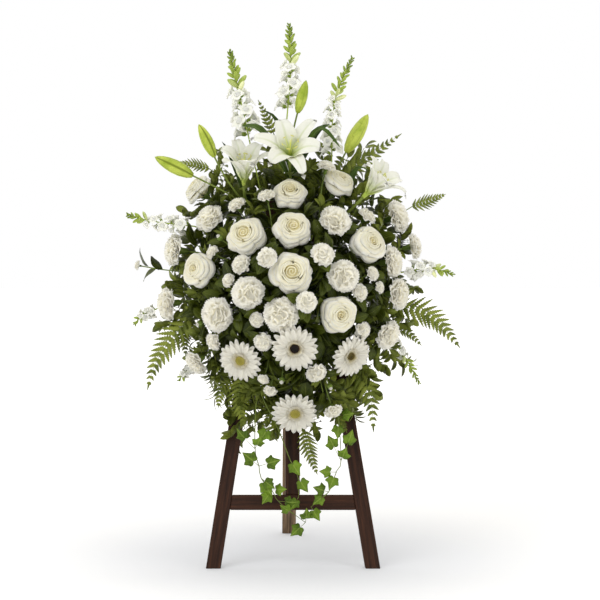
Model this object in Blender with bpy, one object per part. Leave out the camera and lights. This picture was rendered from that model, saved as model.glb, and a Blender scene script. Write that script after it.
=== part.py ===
"""Standing funeral spray: white flowers and greenery in wet foam on a folding wooden easel.

Metres, +Z up, the front of the spray looks towards -Y. Flowers are placed by millimetres across and
up, as somebody standing in front of the easel sees them in the upright plane of the front feet.
seen() slides such a place along the line of sight to its real depth.
"""

import math
from dataclasses import dataclass

import bmesh
import bpy
from mathutils import Matrix, Vector
from mathutils.bvhtree import BVHTree
from mathutils.geometry import interpolate_bezier

MM = 0.001
GAP = 0.0003
FLAT_ANGLE = math.radians(0.2)

# Where the spray is looked at from, measured from the middle of the front feet
EYE = Vector((-0.09, -4.0, 0.79))
# Moves the middle of the whole thing's box to the origin
ORIGIN_SHIFT = Vector((-0.004, -0.167, 0.0))

# Easel
LEAN = math.radians(12)
FOOT_HALF_SPAN = 0.199
LEG_SPLAY = 0.155
LEG_WIDTH = 0.037
LEG_DEPTH = 0.020
LEG_TOP = 0.955
WOOD_BEVEL = 0.0015
LOWER_BAR = (0.1435, 0.181)
UPPER_BAR = (0.905, 0.940)
POST_WIDTH = 0.036
REAR_WIDTH = 0.038
REAR_ANGLE = math.radians(17)
REAR_CLEAR_OF_PIN = 0.010

# Hinge of the rear leg
PIN_HEIGHT = 0.935
PIN_RADIUS = 0.0016
BORE_RADIUS = PIN_RADIUS + 2 * GAP
BARREL_RADIUS = 0.0038
BARREL_SIDES = 6
HINGE_PLATE = 0.002
HINGE_WIDTH = 0.040
HINGE_DROP = 0.030
KNUCKLES = ((-0.018, -0.0065), (-0.006, 0.006), (0.0065, 0.018))
PIN_BEHIND = LEG_DEPTH / 2 + GAP + 2 * HINGE_PLATE

# Foam holder
FOAM = Vector((0.260, 0.090, 0.120))
FOAM_HEIGHT = 0.69
TRAY_WALL = 0.003
TRAY_RIM = 0.015
STRAP_HEIGHTS = (-0.044, 0.044)
STRAP_WIDTH = 0.008
STRAP_THICK = 0.001
FOAM_BACK = -LEG_DEPTH / 2 - TRAY_WALL - 2 * GAP
FOAM_FRONT = FOAM_BACK - FOAM.y
STEM_DEPTH = 0.035
STEM_SIDES = 4
ROSE_STEM = 0.0030
GERBERA_STEM = 0.0028
GERBERA_RAYS = 13
SNAPDRAGON_STEM = 0.0026
LILY_STEM = 0.0036
FERN_STEM = 0.0022
STEM_STRAIGHT = 0.018
HOLE_CLEAR = 0.0005

# The dome of blooms
DOME_MIDDLE = (0.0, 0.67)
DOME_HALF = (0.31, 0.33)
DOME_FRONT = -0.14
DOME_FALL_UP = 0.20
DOME_FALL_DOWN = 0.11
FOCUS = Vector((0.0, 0.13, 0.66))
# Heads with a greater radius than this turn part of the way to the front
OPEN_HEAD = 30
TURN_TO_FRONT = 0.6

@dataclass
class Bloom:
    """A flower head: where it is seen, its radius, and how it stands."""

    spot: tuple
    radius: float
    entry: tuple = None
    facing: tuple = None
    forward: float = 0
    reach: float = 0.4


# Entries name a face of the foam and two distances on it in millimetres, see foam_entry()
ROSES = {
    "rose_top": Bloom((-8, 938), 45, ("top", -6, 48), (0.0, -0.8, 0.6)),
    "rose_upper_right": Bloom((114, 962), 43, ("top", 56, 48), (0.4, -0.55, 0.73)),
    "rose_upper_left": Bloom((-236, 946), 42, ("top", -80, 50), (-0.75, -0.3, 0.6)),
    "rose_left_center": Bloom((-119, 831), 52, ("front", -66, 28)),
    "rose_center": Bloom((0, 848), 51, ("front", 0, 28)),
    "rose_lower_center": Bloom((-3, 738), 54, ("front", 0, 9)),
    "rose_right": Bloom((189, 810), 47, ("front", 88, 28)),
    "rose_left": Bloom((-236, 745), 44, ("front", -112, 9)),
    "rose_lower_right": Bloom((114, 634), 46, ("front", 66, -9)),
}

GERBERAS = {
    "gerbera_middle": Bloom((4, 550), 59, ("front", 0, -28)),
    "gerbera_left": Bloom((-130, 520), 55, ("front", -66, -28)),
    "gerbera_right": Bloom((142, 531), 55, ("front", 66, -28), (0.45, -0.75, -0.3)),
    "gerbera_bottom": Bloom((5, 389), 58, ("bottom", 0, 48), (0.0, -0.85, -0.45)),
}

# cluster: entry, how far in front of the foam its stem forks, and its blooms
CARNATIONS = {
    "carnations_upper_left": (
        ("front", -88, 28),
        0.05,
        [
            Bloom((-210, 875), 38),
            Bloom((-298, 795), 42, facing=(-0.95, -0.25, 0.1)),
        ],
    ),
    "carnations_inner_right": (
        ("front", 44, 28),
        0.04,
        [Bloom((106, 869), 41, reach=0.25), Bloom((126, 730), 40)],
    ),
    "carnations_right": (
        ("right", 28, 50),
        0.03,
        [
            Bloom((263, 879), 43, facing=(0.85, -0.4, 0.3)),
            Bloom((303, 805), 33, facing=(0.95, -0.1, 0.2)),
            Bloom((250, 766), 40, facing=(0.9, -0.4, 0.1)),
        ],
    ),
    "carnations_lower_right": (
        ("front", 112, -9),
        0.03,
        [
            Bloom((265, 685), 41, facing=(0.85, -0.5, 0.0)),
            Bloom((239, 582), 38, facing=(0.7, -0.6, -0.3)),
        ],
    ),
    "carnations_left": (
        ("front", -88, -9),
        0.05,
        [
            Bloom((-113, 688), 41),
            Bloom((-191, 632), 43),
            Bloom((-315, 660), 42, facing=(-0.9, -0.4, -0.1)),
            Bloom((-243, 511), 33, facing=(-0.7, -0.4, -0.6)),
            Bloom((-29, 632), 44),
        ],
    ),
}

SPRAYS = {
    "spray_upper_left": (
        ("front", -44, 28),
        0.05,
        [
            Bloom((-141, 909), 25),
            Bloom((-67, 932), 22, forward=25),
            Bloom((-182, 825), 11),
            Bloom((-203, 790), 18),
        ],
    ),
    "spray_left": (
        ("front", -44, 9),
        0.05,
        [
            Bloom((-131, 759), 25),
            Bloom((-162, 719), 18),
            Bloom((-65, 776), 25, facing=(0.3, -0.95, -0.1), forward=46),
            Bloom((-389, 757), 13, facing=(-0.9, -0.3, 0.2)),
        ],
    ),
    "spray_upper_right": (
        ("front", 66, 28),
        0.05,
        [
            Bloom((76, 785), 30, forward=20),
            Bloom((186, 881), 25),
            Bloom((84, 1005), 24, forward=60),
        ],
    ),
    "spray_right": (
        ("front", 88, -9),
        0.05,
        [
            Bloom((34, 665), 26, forward=22),
            Bloom((168, 689), 23),
            Bloom((200, 736), 19),
            Bloom((217, 702), 16),
            Bloom((175, 594), 23),
        ],
    ),
    "spray_lower_left": (
        ("front", -44, -28),
        0.05,
        [
            Bloom((-91, 620), 19),
            Bloom((-75, 565), 24),
            Bloom((-199, 566), 24),
            Bloom((-232, 610), 11),
            Bloom((-74, 472), 15),
            Bloom((-57, 442), 17),
            Bloom((-28, 470), 11),
        ],
    ),
    "spray_lower_right": (
        ("front", 44, -28),
        0.05,
        [
            Bloom((58, 488), 27),
            Bloom((101, 392), 23, forward=30),
            Bloom((92, 454), 10),
        ],
    ),
}

@dataclass
class Spike:
    """A snapdragon: seen places where florets start, where buds start, and its tip."""

    places: tuple
    depths: tuple
    half_width: float


SNAPDRAGONS = {
    "snapdragon_top": (
        ("top", -28, 68),
        [Spike(((-13, 1150), (-5, 1252), (-9, 1360)), (0.10, 0.15), 27)],
    ),
    "snapdragon_top_left": (
        ("top", -60, 70),
        [Spike(((-112, 1083), (-135, 1190), (-159, 1294)), (0.06, 0.09), 28)],
    ),
    "snapdragon_top_right": (
        ("top", 42, 70),
        [Spike(((97, 1035), (104, 1165), (149, 1277)), (0.11, 0.11), 23)],
    ),
    "snapdragon_left": (
        ("left", 28, 50),
        [Spike(((-262, 856), (-358, 868), (-416, 884)), (0.06, 0.02), 21)],
    ),
    "snapdragon_right": (
        ("right", 0, 50),
        [Spike(((288, 742), (345, 750), (400, 734)), (0.06, 0.03), 20)],
    ),
    "snapdragons_lower_left": (
        ("left", -28, 70),
        [
            Spike(((-345, 646), (-378, 630), (-397, 609)), (0.13, 0.11), 15),
            Spike(((-250, 505), (-272, 487), (-286, 468)), (0.10, 0.09), 13),
        ],
    ),
    "snapdragon_lower_right": (
        ("right", -28, 70),
        [Spike(((228, 590), (275, 535), (316, 461)), (0.09, 0.06), 17)],
    ),
}
FLORET_STEP = 0.016
TIP_STEP = 0.022
BUD_RADIUS = 0.012

# lily: entry, seen place of its throat, depth, look, openness, petal length
LILIES = {
    "lily_center": (("top", 14, 48), (-8, 1030), -0.02, (0.0, -0.86, 0.5), 1.0, 0.092),
    "lily_left": (("top", -50, 48), (-123, 968), 0.03, (0.02, -0.5, 0.87), 0.75, 0.104),
    "lily_right": (("top", 84, 50), (183, 935), 0.0, (0.62, -0.38, 0.68), 0.75, 0.098),
}
# buds: where their twig leaves the lily stem (part of its length), seen base and tip, depth
LILY_BUDS = {
    "lily_center": [(0.75, (10, 1133), (33, 1220), 0.02)],
    "lily_left": [
        (0.55, (-194, 1023), (-236, 1110), 0.01),
        (0.55, (-245, 978), (-346, 1028), 0.03),
    ],
    "lily_right": [(0.30, (129, 1034), (188, 1135), 0.11)],
}
# leaves: part of the stem, seen middle and tip, depths of both, half width
LILY_LEAVES = {
    "lily_center": [
        (0.80, (-85, 1098), (-130, 1105), -0.01, 13),
        (0.80, (60, 1090), (93, 1110), 0.03, 12),
        (0.85, (-45, 1125), (-80, 1146), 0.06, 5),
        (0.85, (70, 1100), (119, 1050), 0.01, 6),
    ],
    "lily_left": [(0.6, (-160, 1040), (-178, 1066), 0.09, 7)],
    "lily_right": [(0.5, (160, 1000), (190, 992), 0.10, 7)],
}

# fern: entry, fork, then fronds as seen places from base to tip, depths of both, half width, pairs
FERNS = {
    "fern_left": (
        ("left", 0, 50),
        0.03,
        [
            ([(-262, 622), (-310, 565), (-345, 508), (-363, 450)], (0.06, 0.03), 54, 8),
            ([(-252, 640), (-272, 590), (-268, 532)], (0.08, 0.07), 38, 6),
            ([(-212, 1000), (-250, 1010), (-290, 1012)], (0.17, 0.14), 28, 5),
        ],
    ),
    "fern_right": (
        ("right", -10, 70),
        0.03,
        [
            ([(265, 655), (325, 640), (370, 608), (416, 553)], (0.06, 0.02), 56, 8),
            ([(240, 610), (285, 590), (320, 558)], (0.09, 0.08), 26, 5),
            ([(300, 905), (340, 918), (380, 934)], (0.16, 0.15), 32, 5),
        ],
    ),
    "fern_low": (
        ("bottom", 60, 66),
        0.03,
        [
            ([(150, 525), (178, 470), (196, 410), (201, 345)], (0.02, -0.01), 48, 7),
            ([(30, 340), (38, 300), (60, 236)], (0.02, -0.02), 32, 6),
            ([(95, 400), (118, 370), (134, 340)], (0.03, 0.0), 22, 4),
        ],
    ),
    "fern_low_left": (
        ("bottom", -70, 48),
        0.03,
        [
            ([(-145, 500), (-178, 450), (-187, 402)], (0.03, 0.01), 40, 6),
            ([(-130, 480), (-135, 425), (-122, 352)], (0.0, -0.02), 42, 7),
            ([(-45, 420), (-55, 385), (-78, 350)], (0.02, 0.0), 22, 4),
        ],
    ),
    "fern_upper": (
        ("top", 20, 68),
        0.03,
        [
            ([(125, 985), (195, 1032), (268, 1084)], (0.14, 0.12), 40, 7),
            ([(-50, 1090), (-68, 1130), (-86, 1168)], (0.14, 0.14), 20, 4),
        ],
    ),
}

# vine: entry, strands as seen places, depth of each strand's end, leaves as (across, up, size)
IVY = {
    "ivy_left": (
        ("bottom", -30, 28),
        [
            [
                (-93, 398),
                (-95, 298),
                (-85, 255),
                (-80, 225),
                (-53, 195),
                (-38, 168),
                (5, 133),
                (31, 114),
            ],
            [(-30, 330), (-8, 272), (12, 228), (14, 178)],
        ],
        [
            (-70, 338, 20),
            (-88, 311, 18),
            (-124, 328, 19),
            (-103, 270, 22),
            (-58, 263, 20),
            (-90, 220, 22),
            (-65, 213, 18),
            (-38, 196, 17),
            (-63, 180, 18),
            (-13, 165, 17),
            (-15, 145, 16),
            (33, 128, 18),
            (14, 98, 19),
            (15, 228, 19),
            (14, 180, 16),
            (-10, 270, 20),
        ],
    ),
    "ivy_right": (
        ("bottom", 32, 28),
        [[(113, 380), (120, 268), (108, 240), (89, 190), (45, 153)]],
        [
            (100, 308, 19),
            (140, 318, 20),
            (125, 280, 19),
            (113, 348, 18),
            (130, 383, 18),
            (100, 220, 19),
            (88, 240, 17),
            (73, 195, 18),
            (68, 173, 17),
            (48, 153, 17),
        ],
    ),
}
IVY_DEPTH = -0.035
IVY_THICK = 0.0020
# A leaf that would cover its vine by less than this part of its size hangs to one side of it
IVY_ASIDE = 0.6

# greens: entry, then twigs as the seen place of their end; leaves sit along each twig by rule
GREENS = {
    "greens_left": (
        ("front", -88, 9),
        [
            (-255, 815),
            (-225, 705),
            (-160, 800),
            (-165, 690),
            (-160, 880),
            (-70, 700),
            (-70, 880),
            (-180, 760),
            (-75, 650),
        ],
    ),
    "greens_right": (
        ("front", 88, 9),
        [
            (235, 840),
            (215, 640),
            (150, 760),
            (60, 720),
            (60, 910),
            (160, 900),
            (60, 610),
            (150, 850),
            (60, 850),
        ],
    ),
    "greens_low": (
        ("front", 22, -28),
        [
            (75, 440),
            (30, 470),
            (-60, 520),
            (-110, 450),
            (75, 560),
        ],
    ),
}


def seen(across, up, depth):
    """The point at this depth that covers the place (across, up) in millimetres."""
    stretch = (depth - EYE.y) / -EYE.y
    return Vector(
        (
            EYE.x + (across * MM - EYE.x) * stretch,
            depth,
            EYE.z + (up * MM - EYE.z) * stretch,
        )
    )


def dome_depth(across, up):
    """How far behind the front feet the dome of blooms lies at a place seen from the front."""
    side = (across * MM - DOME_MIDDLE[0]) / DOME_HALF[0]
    rise = (up * MM - DOME_MIDDLE[1]) / DOME_HALF[1]
    fall = DOME_FALL_UP if rise > 0 else DOME_FALL_DOWN
    return DOME_FRONT + DOME_FALL_UP * side**2 + fall * rise**2


def bloom_place(bloom):
    """Middle of a bloom and the direction it looks in."""
    place = seen(*bloom.spot, dome_depth(*bloom.spot) - bloom.forward * MM)
    look = Vector(bloom.facing) if bloom.facing else place - FOCUS
    if not bloom.facing and bloom.radius > OPEN_HEAD:
        look = look.normalized() + Vector((0, -TURN_TO_FRONT, 0))
    return place, look.normalized()


def frame_point(u, v, w):
    """A point of the leaning front frame: u across, v behind its middle plane, w up along it."""
    c, s = math.cos(LEAN), math.sin(LEAN)
    return Vector((u, v * c + w * s, w * c - v * s))


def frame_direction(u, v, w):
    """A direction given in the leaning front frame."""
    return frame_point(u, v, w) - frame_point(0, 0, 0)


def foam_entry(face, a, b):
    """Where a stem enters the foam, and the direction straight out of that face.

    On the front, a runs across and b up from the middle; on top and bottom, b is the depth behind
    the front; on the sides, a runs up from the middle and b is that depth.
    """
    a, b = a * MM, b * MM
    if face == "front":
        return frame_point(a, FOAM_FRONT, FOAM_HEIGHT + b), frame_direction(0, -1, 0)
    if face in ("top", "bottom"):
        sign = 1 if face == "top" else -1
        place = frame_point(a, FOAM_FRONT + b, FOAM_HEIGHT + sign * FOAM.z / 2)
        return place, frame_direction(0, 0, sign)
    sign = 1 if face == "right" else -1
    place = frame_point(sign * FOAM.x / 2, FOAM_FRONT + b, FOAM_HEIGHT + a)
    return place, frame_direction(sign, 0, 0)


def bend(start, leave, end, arrive, steps, reach=0.4):
    """Points of a smooth curve that leaves start along one direction and arrives along another."""
    pull = (end - start).length * reach
    return interpolate_bezier(start, start + leave * pull, end - arrive * pull, end, steps + 1)


def directions(points):
    """Unit direction of a path at each of its points."""
    found = []
    for i in range(len(points)):
        ahead = points[min(i + 1, len(points) - 1)]
        behind = points[max(i - 1, 0)]
        found.append((ahead - behind).normalized())
    return found


def skin(rings, lens=False):
    """A closed body through rings of points; a ring of one point closes its end as a pole.

    Rings with different counts are joined by fans. With lens set, the rings are a blade's rim,
    midrib, rim and midrib, and its quads are split alike on both faces.
    """
    bm = bmesh.new()
    rows = [[bm.verts.new(p) for p in ring] for ring in rings]
    for row, after in zip(rows, rows[1:]):
        count = max(len(row), len(after))
        for i in range(count):
            j = (i + 1) % count
            low = row[i * len(row) // count], row[j * len(row) // count]
            high = after[i * len(after) // count], after[j * len(after) // count]
            corners = list(dict.fromkeys([*low, high[1], high[0]]))
            if lens and len(corners) == 4:
                rim, rib = (0, 1) if i % 2 == 0 else (1, 0)
                bm.faces.new((low[rim], low[rib], high[rib]))
                bm.faces.new((low[rim], high[rib], high[rim]))
            else:
                bm.faces.new(corners)
    for row in (rows[0], rows[-1]):
        if len(row) > 1:
            bm.faces.new(row)
    bmesh.ops.triangulate(bm, faces=bm.faces)
    bmesh.ops.recalc_face_normals(bm, faces=bm.faces)
    return bm


def round_rings(points, radii, sides):
    """Rings along a path without twist, and the sideways direction at its end."""
    along = directions(points)
    across = along[0].orthogonal().normalized()
    rings = []
    for i, (point, radius) in enumerate(zip(points, radii)):
        if i:
            across = along[i - 1].rotation_difference(along[i]) @ across
        other = along[i].cross(across)
        angles = [2 * math.pi * k / sides for k in range(sides)]
        rings.append(
            [point + (across * math.cos(a) + other * math.sin(a)) * radius for a in angles]
        )
    return rings, across


def tube(points, radii, sides):
    """A closed round body along a path."""
    return skin(round_rings(points, radii, sides)[0])


def stem(points, radius):
    """A stem of even thickness along a path."""
    return tube(points, [radius] * len(points), STEM_SIDES)


def head_rings(place, look, across, radius, profile, sides, waves):
    """Rings of a head that looks one way, with waves along its rims.

    Each profile row is (radius, height, wave in radius, wave in height, half turns of phase), all
    in parts of the head's radius. A row with radius 0 is a pole.
    """
    across = (across - look * across.dot(look)).normalized()
    other = look.cross(across)
    rings = []
    for r, z, wave_r, wave_z, phase in profile:
        if r == 0:
            rings.append([place + look * z * radius])
            continue
        ring = []
        for k in range(sides):
            angle = 2 * math.pi * k / sides
            wave = math.cos(waves * angle + math.pi * phase)
            out = (across * math.cos(angle) + other * math.sin(angle)) * r * (1 + wave_r * wave)
            ring.append(place + (out + look * (z + wave_z * wave)) * radius)
        rings.append(ring)
    return rings


def flower(points, thick, place, look, radius, profile, sides, waves):
    """A stem and its head in one closed skin."""
    rings, across = round_rings(points, [thick] * len(points), STEM_SIDES)
    return skin([*rings, *head_rings(place, look, across, radius, profile, sides, waves)])


ROSE_PROFILE = (
    (0.52, -0.62, 0, 0, 0),
    (0.90, -0.22, 0.05, 0, 0),
    (1.00, 0.05, 0.10, 0.05, 0),
    (0.78, 0.00, 0, 0, 0),
    (0.72, 0.24, 0.12, 0.05, 1),
    (0.52, 0.12, 0, 0, 0),
    (0.46, 0.38, 0.12, 0.06, 0),
    (0.26, 0.24, 0, 0, 0),
    (0, 0.44, 0, 0, 0),
)
CARNATION_PROFILE = (
    (0.42, -0.40, 0, 0, 0),
    (1.00, -0.10, 0.08, 0.10, 0),
    (0.72, 0.04, 0, 0, 0),
    (0.74, 0.30, 0.13, 0.10, 1),
    (0.42, 0.24, 0, 0, 0),
    (0.38, 0.50, 0.20, 0.08, 0),
    (0, 0.38, 0, 0, 0),
)
MINI_PROFILE = (
    (0.48, -0.40, 0, 0, 0),
    (1.00, 0.0, 0.06, 0.13, 0),
    (0.58, 0.14, 0, 0, 0),
    (0.52, 0.44, 0.15, 0.08, 1),
    (0, 0.32, 0, 0, 0),
)
BUD_PROFILE = (
    (0.55, -0.7, 0, 0, 0),
    (0.80, 0.0, 0, 0, 0),
    (0.45, 0.8, 0, 0, 0),
    (0, 1.2, 0, 0, 0),
)
LILY_BUD_PROFILE = (
    (0.17, -0.80, 0, 0, 0),
    (0.30, -0.10, 0.06, 0, 0),
    (0.26, 0.55, 0.06, 0, 0),
    (0, 1.0, 0, 0, 0),
)


def lens_blade(points, widths, up, thick, fold=0.0):
    """A leaf or petal with a raised midrib and sharp rims, in one closed skin.

    widths are half widths, 0 for a pointed end. thick is one value or one for each point. fold
    lifts the rims above the midrib, in parts of the local half width.
    """
    along = directions(points)
    thicks = thick if isinstance(thick, list) else [thick] * len(points)
    rings = []
    for point, ahead, half, deep in zip(points, along, widths, thicks):
        if half == 0:
            rings.append([point])
            continue
        side = ahead.cross(up).normalized()
        normal = side.cross(ahead)
        lift = normal * half * (fold if half > deep else 0)
        rings.append(
            [
                point - side * half + lift,
                point + normal * deep / 2,
                point + side * half + lift,
                point - normal * deep / 2,
            ]
        )
    return skin(rings, lens=True)


def gerbera(points, place, look, radius):
    """Stem, two rings of rays and a raised disc in one closed skin.

    Each ray has a notch, two shoulders and a tip, and the upper ring lies between the lower rays.
    """
    rings, across = round_rings(points, [GERBERA_STEM] * len(points), STEM_SIDES)
    across = (across - look * across.dot(look)).normalized()
    other = look.cross(across)

    def spot(reach, height, turn):
        angle = 2 * math.pi * turn / GERBERA_RAYS
        out = across * math.cos(angle) + other * math.sin(angle)
        return place + (out * reach + look * height) * radius

    def ring(reach, height, phase=0.0):
        return [spot(reach, height, k + phase) for k in range(GERBERA_RAYS)]

    def star(reach, height, phase):
        shape = ((0.0, 0.55), (0.26, 0.90), (0.5, 1.0), (0.74, 0.90))
        return [
            spot(reach * part, height * part, k + offset + phase)
            for k in range(GERBERA_RAYS)
            for offset, part in shape
        ]

    rings += [
        ring(0.27, -0.05),
        star(1.0, 0.10, 0.0),
        ring(0.27, 0.03),
        ring(0.27, 0.06, 0.5),
        star(0.88, 0.24, 0.5),
        ring(0.27, 0.12, 0.5),
        ring(0.17, 0.17, 0.5),
        [place + look * radius * 0.14],
    ]
    return skin(rings)


def mesh_object(name, bm, material=None):
    """A Blender object from a bmesh, which is freed."""
    mesh = bpy.data.meshes.new(name)
    bm.to_mesh(mesh)
    bm.free()
    obj = bpy.data.objects.new(name, mesh)
    bpy.context.scene.collection.objects.link(obj)
    if material:
        mesh.materials.append(material)
    return obj


def body_islands(bm):
    """The separate shells of a bmesh, as lists of vertices."""
    left = set(bm.verts)
    islands = []
    while left:
        todo = [left.pop()]
        island = list(todo)
        while todo:
            for edge in todo.pop().link_edges:
                for vert in edge.verts:
                    if vert in left:
                        left.discard(vert)
                        todo.append(vert)
                        island.append(vert)
        islands.append(island)
    return sorted(islands, key=len, reverse=True)


def fuse(name, bodies, material, solver="MANIFOLD"):
    """Joins closed overlapping bodies in one, fills sealed hollows and drops loose scraps."""
    if len(bodies) == 1:
        return mesh_object(name, bodies[0], material)
    base, *others = [mesh_object(f"{name}_body", bm) for bm in bodies]
    group = bpy.data.collections.new(f"{name}_bodies")
    bpy.context.scene.collection.children.link(group)
    for obj in others:
        bpy.context.scene.collection.objects.unlink(obj)
        group.objects.link(obj)
    joint = base.modifiers.new("fuse", "BOOLEAN")
    joint.operation = "UNION"
    joint.operand_type = "COLLECTION"
    joint.collection = group
    joint.solver = solver
    depsgraph = bpy.context.evaluated_depsgraph_get()
    bm = bmesh.new()
    bm.from_object(base, depsgraph)
    for obj in [base, *others]:
        bpy.data.objects.remove(obj)
    bpy.data.collections.remove(group)
    islands = body_islands(bm)
    for island in islands[1:]:
        bmesh.ops.delete(bm, geom=island, context="VERTS")
    bmesh.ops.triangulate(bm, faces=bm.faces)
    return mesh_object(name, bm, material)


def paint(name, colour, roughness, metallic=0.0):
    """A plain material."""
    material = bpy.data.materials.new(name)
    material.use_nodes = True
    shader = material.node_tree.nodes["Principled BSDF"]
    shader.inputs["Base Color"].default_value = (*colour, 1.0)
    shader.inputs["Roughness"].default_value = roughness
    shader.inputs["Metallic"].default_value = metallic
    material.diffuse_color = (*colour, 1.0)
    return material


HOLES = []


def stem_path(entry, end, arrive, steps, radius, reach=0.4):
    """A stem's points from the bottom of its hole in the foam to its end."""
    mouth, out = foam_entry(*entry)
    inside = mouth - out * STEM_DEPTH
    HOLES.append((inside - out * GAP, mouth + out * GAP, radius))
    start = mouth + out * STEM_STRAIGHT
    return [inside, *bend(start, out, end, arrive, steps, reach)]


def straight_bar(name, corners, material):
    """A wooden bar from its eight corners, with its edges eased."""
    bm = bmesh.new()
    bmesh.ops.create_cube(bm, size=2)
    for vert in bm.verts:
        vert.co = corners(*(int(math.copysign(1, c)) for c in vert.co))
    bmesh.ops.bevel(
        bm,
        geom=bm.edges,
        offset=WOOD_BEVEL,
        segments=1,
        profile=0.5,
        affect="EDGES",
    )
    bmesh.ops.recalc_face_normals(bm, faces=bm.faces)
    return mesh_object(name, bm, material)


def leg_middle(w):
    """Half the distance between the middles of the front legs, at a height along them."""
    return FOOT_HALF_SPAN - LEG_SPLAY * w


def front_leg(name, side, material):
    """One front leg, cut level at its foot."""

    def corner(x, y, z):
        v = y * LEG_DEPTH / 2
        w = LEG_TOP if z > 0 else v * math.tan(LEAN)
        return frame_point(side * leg_middle(w) + x * LEG_WIDTH / 2, v, w)

    return straight_bar(name, corner, material)


def crossbar(name, span, material):
    """A bar that butts between the front legs."""

    def corner(x, y, z):
        w = span[1] if z > 0 else span[0]
        u = x * (leg_middle(w) - LEG_WIDTH / 2 - GAP)
        return frame_point(u, y * LEG_DEPTH / 2, w)

    return straight_bar(name, corner, material)


def center_post(material):
    """The upright between the two crossbars."""
    low, high = LOWER_BAR[1] + GAP, UPPER_BAR[0] - GAP

    def corner(x, y, z):
        return frame_point(x * POST_WIDTH / 2, y * LEG_DEPTH / 2, high if z > 0 else low)

    return straight_bar("easel_center_post", corner, material)


def rear_leg(pivot, material):
    """The rear leg, in the hinge's own frame: it hangs down and lies behind the pin."""
    opened = REAR_ANGLE
    pin = frame_point(0, PIN_BEHIND, PIN_HEIGHT)
    front = HINGE_PLATE + GAP

    def corner(x, y, z):
        back = front if y < 0 else front + LEG_DEPTH
        if z > 0:
            down = -REAR_CLEAR_OF_PIN
        else:
            down = (-pin.z - back * math.sin(opened)) / math.cos(opened)
        return Vector((x * REAR_WIDTH / 2, back, down))

    leg = straight_bar("easel_leg_rear", corner, material)
    leg.parent = pivot
    return leg


def knuckle(low, high):
    """A ring of the hinge's barrel along X, with a bore that the pin turns in."""
    bm = bmesh.new()
    corners = ((low, BARREL_RADIUS), (high, BARREL_RADIUS), (high, BORE_RADIUS), (low, BORE_RADIUS))
    loops = []
    for x, radius in corners:
        angles = [2 * math.pi * k / BARREL_SIDES for k in range(BARREL_SIDES)]
        loops.append([bm.verts.new((x, radius * math.cos(a), radius * math.sin(a))) for a in angles])
    for loop, after in zip(loops, loops[1:] + loops[:1]):
        for i in range(BARREL_SIDES):
            j = (i + 1) % BARREL_SIDES
            bm.faces.new((loop[i], loop[j], after[j], after[i]))
    bmesh.ops.recalc_face_normals(bm, faces=bm.faces)
    return bm


def hinge_leaf(name, knuckles, side, material):
    """A leaf with its knuckles: a plate that hangs beside the pin."""

    def slab(low, high, top, bottom):
        bm = bmesh.new()
        bmesh.ops.create_cube(bm, size=1)
        for vert in bm.verts:
            x = high if vert.co.x > 0 else low
            y = side * (HINGE_PLATE if vert.co.y * side > 0 else GAP / 2)
            vert.co = (x, y, top if vert.co.z > 0 else bottom)
        return bm

    below = -BARREL_RADIUS - 2 * GAP
    bodies = [slab(-HINGE_WIDTH / 2, HINGE_WIDTH / 2, below, -HINGE_DROP)]
    for low, high in knuckles:
        bodies.append(slab(low + GAP, high - GAP, -(BARREL_RADIUS + BORE_RADIUS) / 2, below - GAP))
        bodies.append(knuckle(low, high))
    return fuse(name, bodies, material)


def cut(obj, bodies):
    """Cuts closed bodies out of an object for good, and splits its flat faces afresh."""
    for body in bodies:
        cutter = mesh_object("cutter", body)
        knife = obj.modifiers.new("cut", "BOOLEAN")
        knife.operation = "DIFFERENCE"
        knife.object = cutter
        knife.solver = "MANIFOLD"
        bm = bmesh.new()
        bm.from_object(obj, bpy.context.evaluated_depsgraph_get())
        obj.modifiers.clear()
        bpy.data.objects.remove(cutter)
        bm.to_mesh(obj.data)
        bm.free()
    bm = bmesh.new()
    bm.from_mesh(obj.data)
    bmesh.ops.dissolve_limit(
        bm,
        angle_limit=FLAT_ANGLE,
        use_dissolve_boundaries=False,
        verts=bm.verts,
        edges=bm.edges,
    )
    bmesh.ops.triangulate(bm, faces=bm.faces)
    bm.to_mesh(obj.data)
    bm.free()


def empty(name, place, parent=None):
    """An empty to hang objects from."""
    obj = bpy.data.objects.new(name, None)
    bpy.context.scene.collection.objects.link(obj)
    obj.location = place
    obj.parent = parent
    return obj


def build_easel(root):
    """Legs, bars, post and the rear leg on its hinge."""
    wood = paint("espresso_wood", (0.045, 0.018, 0.011), 0.45)
    steel = paint("zinc_steel", (0.55, 0.55, 0.55), 0.35, 1.0)
    front_leg("easel_leg_left", -1, wood).parent = root
    front_leg("easel_leg_right", 1, wood).parent = root
    crossbar("easel_crossbar_lower", LOWER_BAR, wood).parent = root
    crossbar("easel_crossbar_upper", UPPER_BAR, wood).parent = root
    center_post(wood).parent = root
    pin_place = frame_point(0, PIN_BEHIND, PIN_HEIGHT)
    fixed = empty("hinge_fixed_frame", pin_place, root)
    fixed.rotation_euler.x = -LEAN
    moving = empty("hinge_moving_frame", pin_place, root)
    moving.rotation_euler.x = REAR_ANGLE
    hinge_leaf("hinge_leaf_fixed", [KNUCKLES[0], KNUCKLES[2]], -1, steel).parent = fixed
    hinge_leaf("hinge_leaf_moving", [KNUCKLES[1]], 1, steel).parent = moving
    pin_ends = [Vector((-HINGE_WIDTH / 2, 0, 0)), Vector((HINGE_WIDTH / 2, 0, 0))]
    pin = mesh_object("hinge_pin", tube(pin_ends, [PIN_RADIUS] * 2, BARREL_SIDES), steel)
    pin.parent = fixed
    rear_leg(moving, wood)


def foam_box(low, high):
    """A closed box between two corners given in the leaning frame."""
    bm = bmesh.new()
    bmesh.ops.create_cube(bm, size=1)
    for vert in bm.verts:
        pick = [h if c > 0 else l for c, l, h in zip(vert.co, low, high)]
        vert.co = frame_point(*pick)
    return bm


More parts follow.
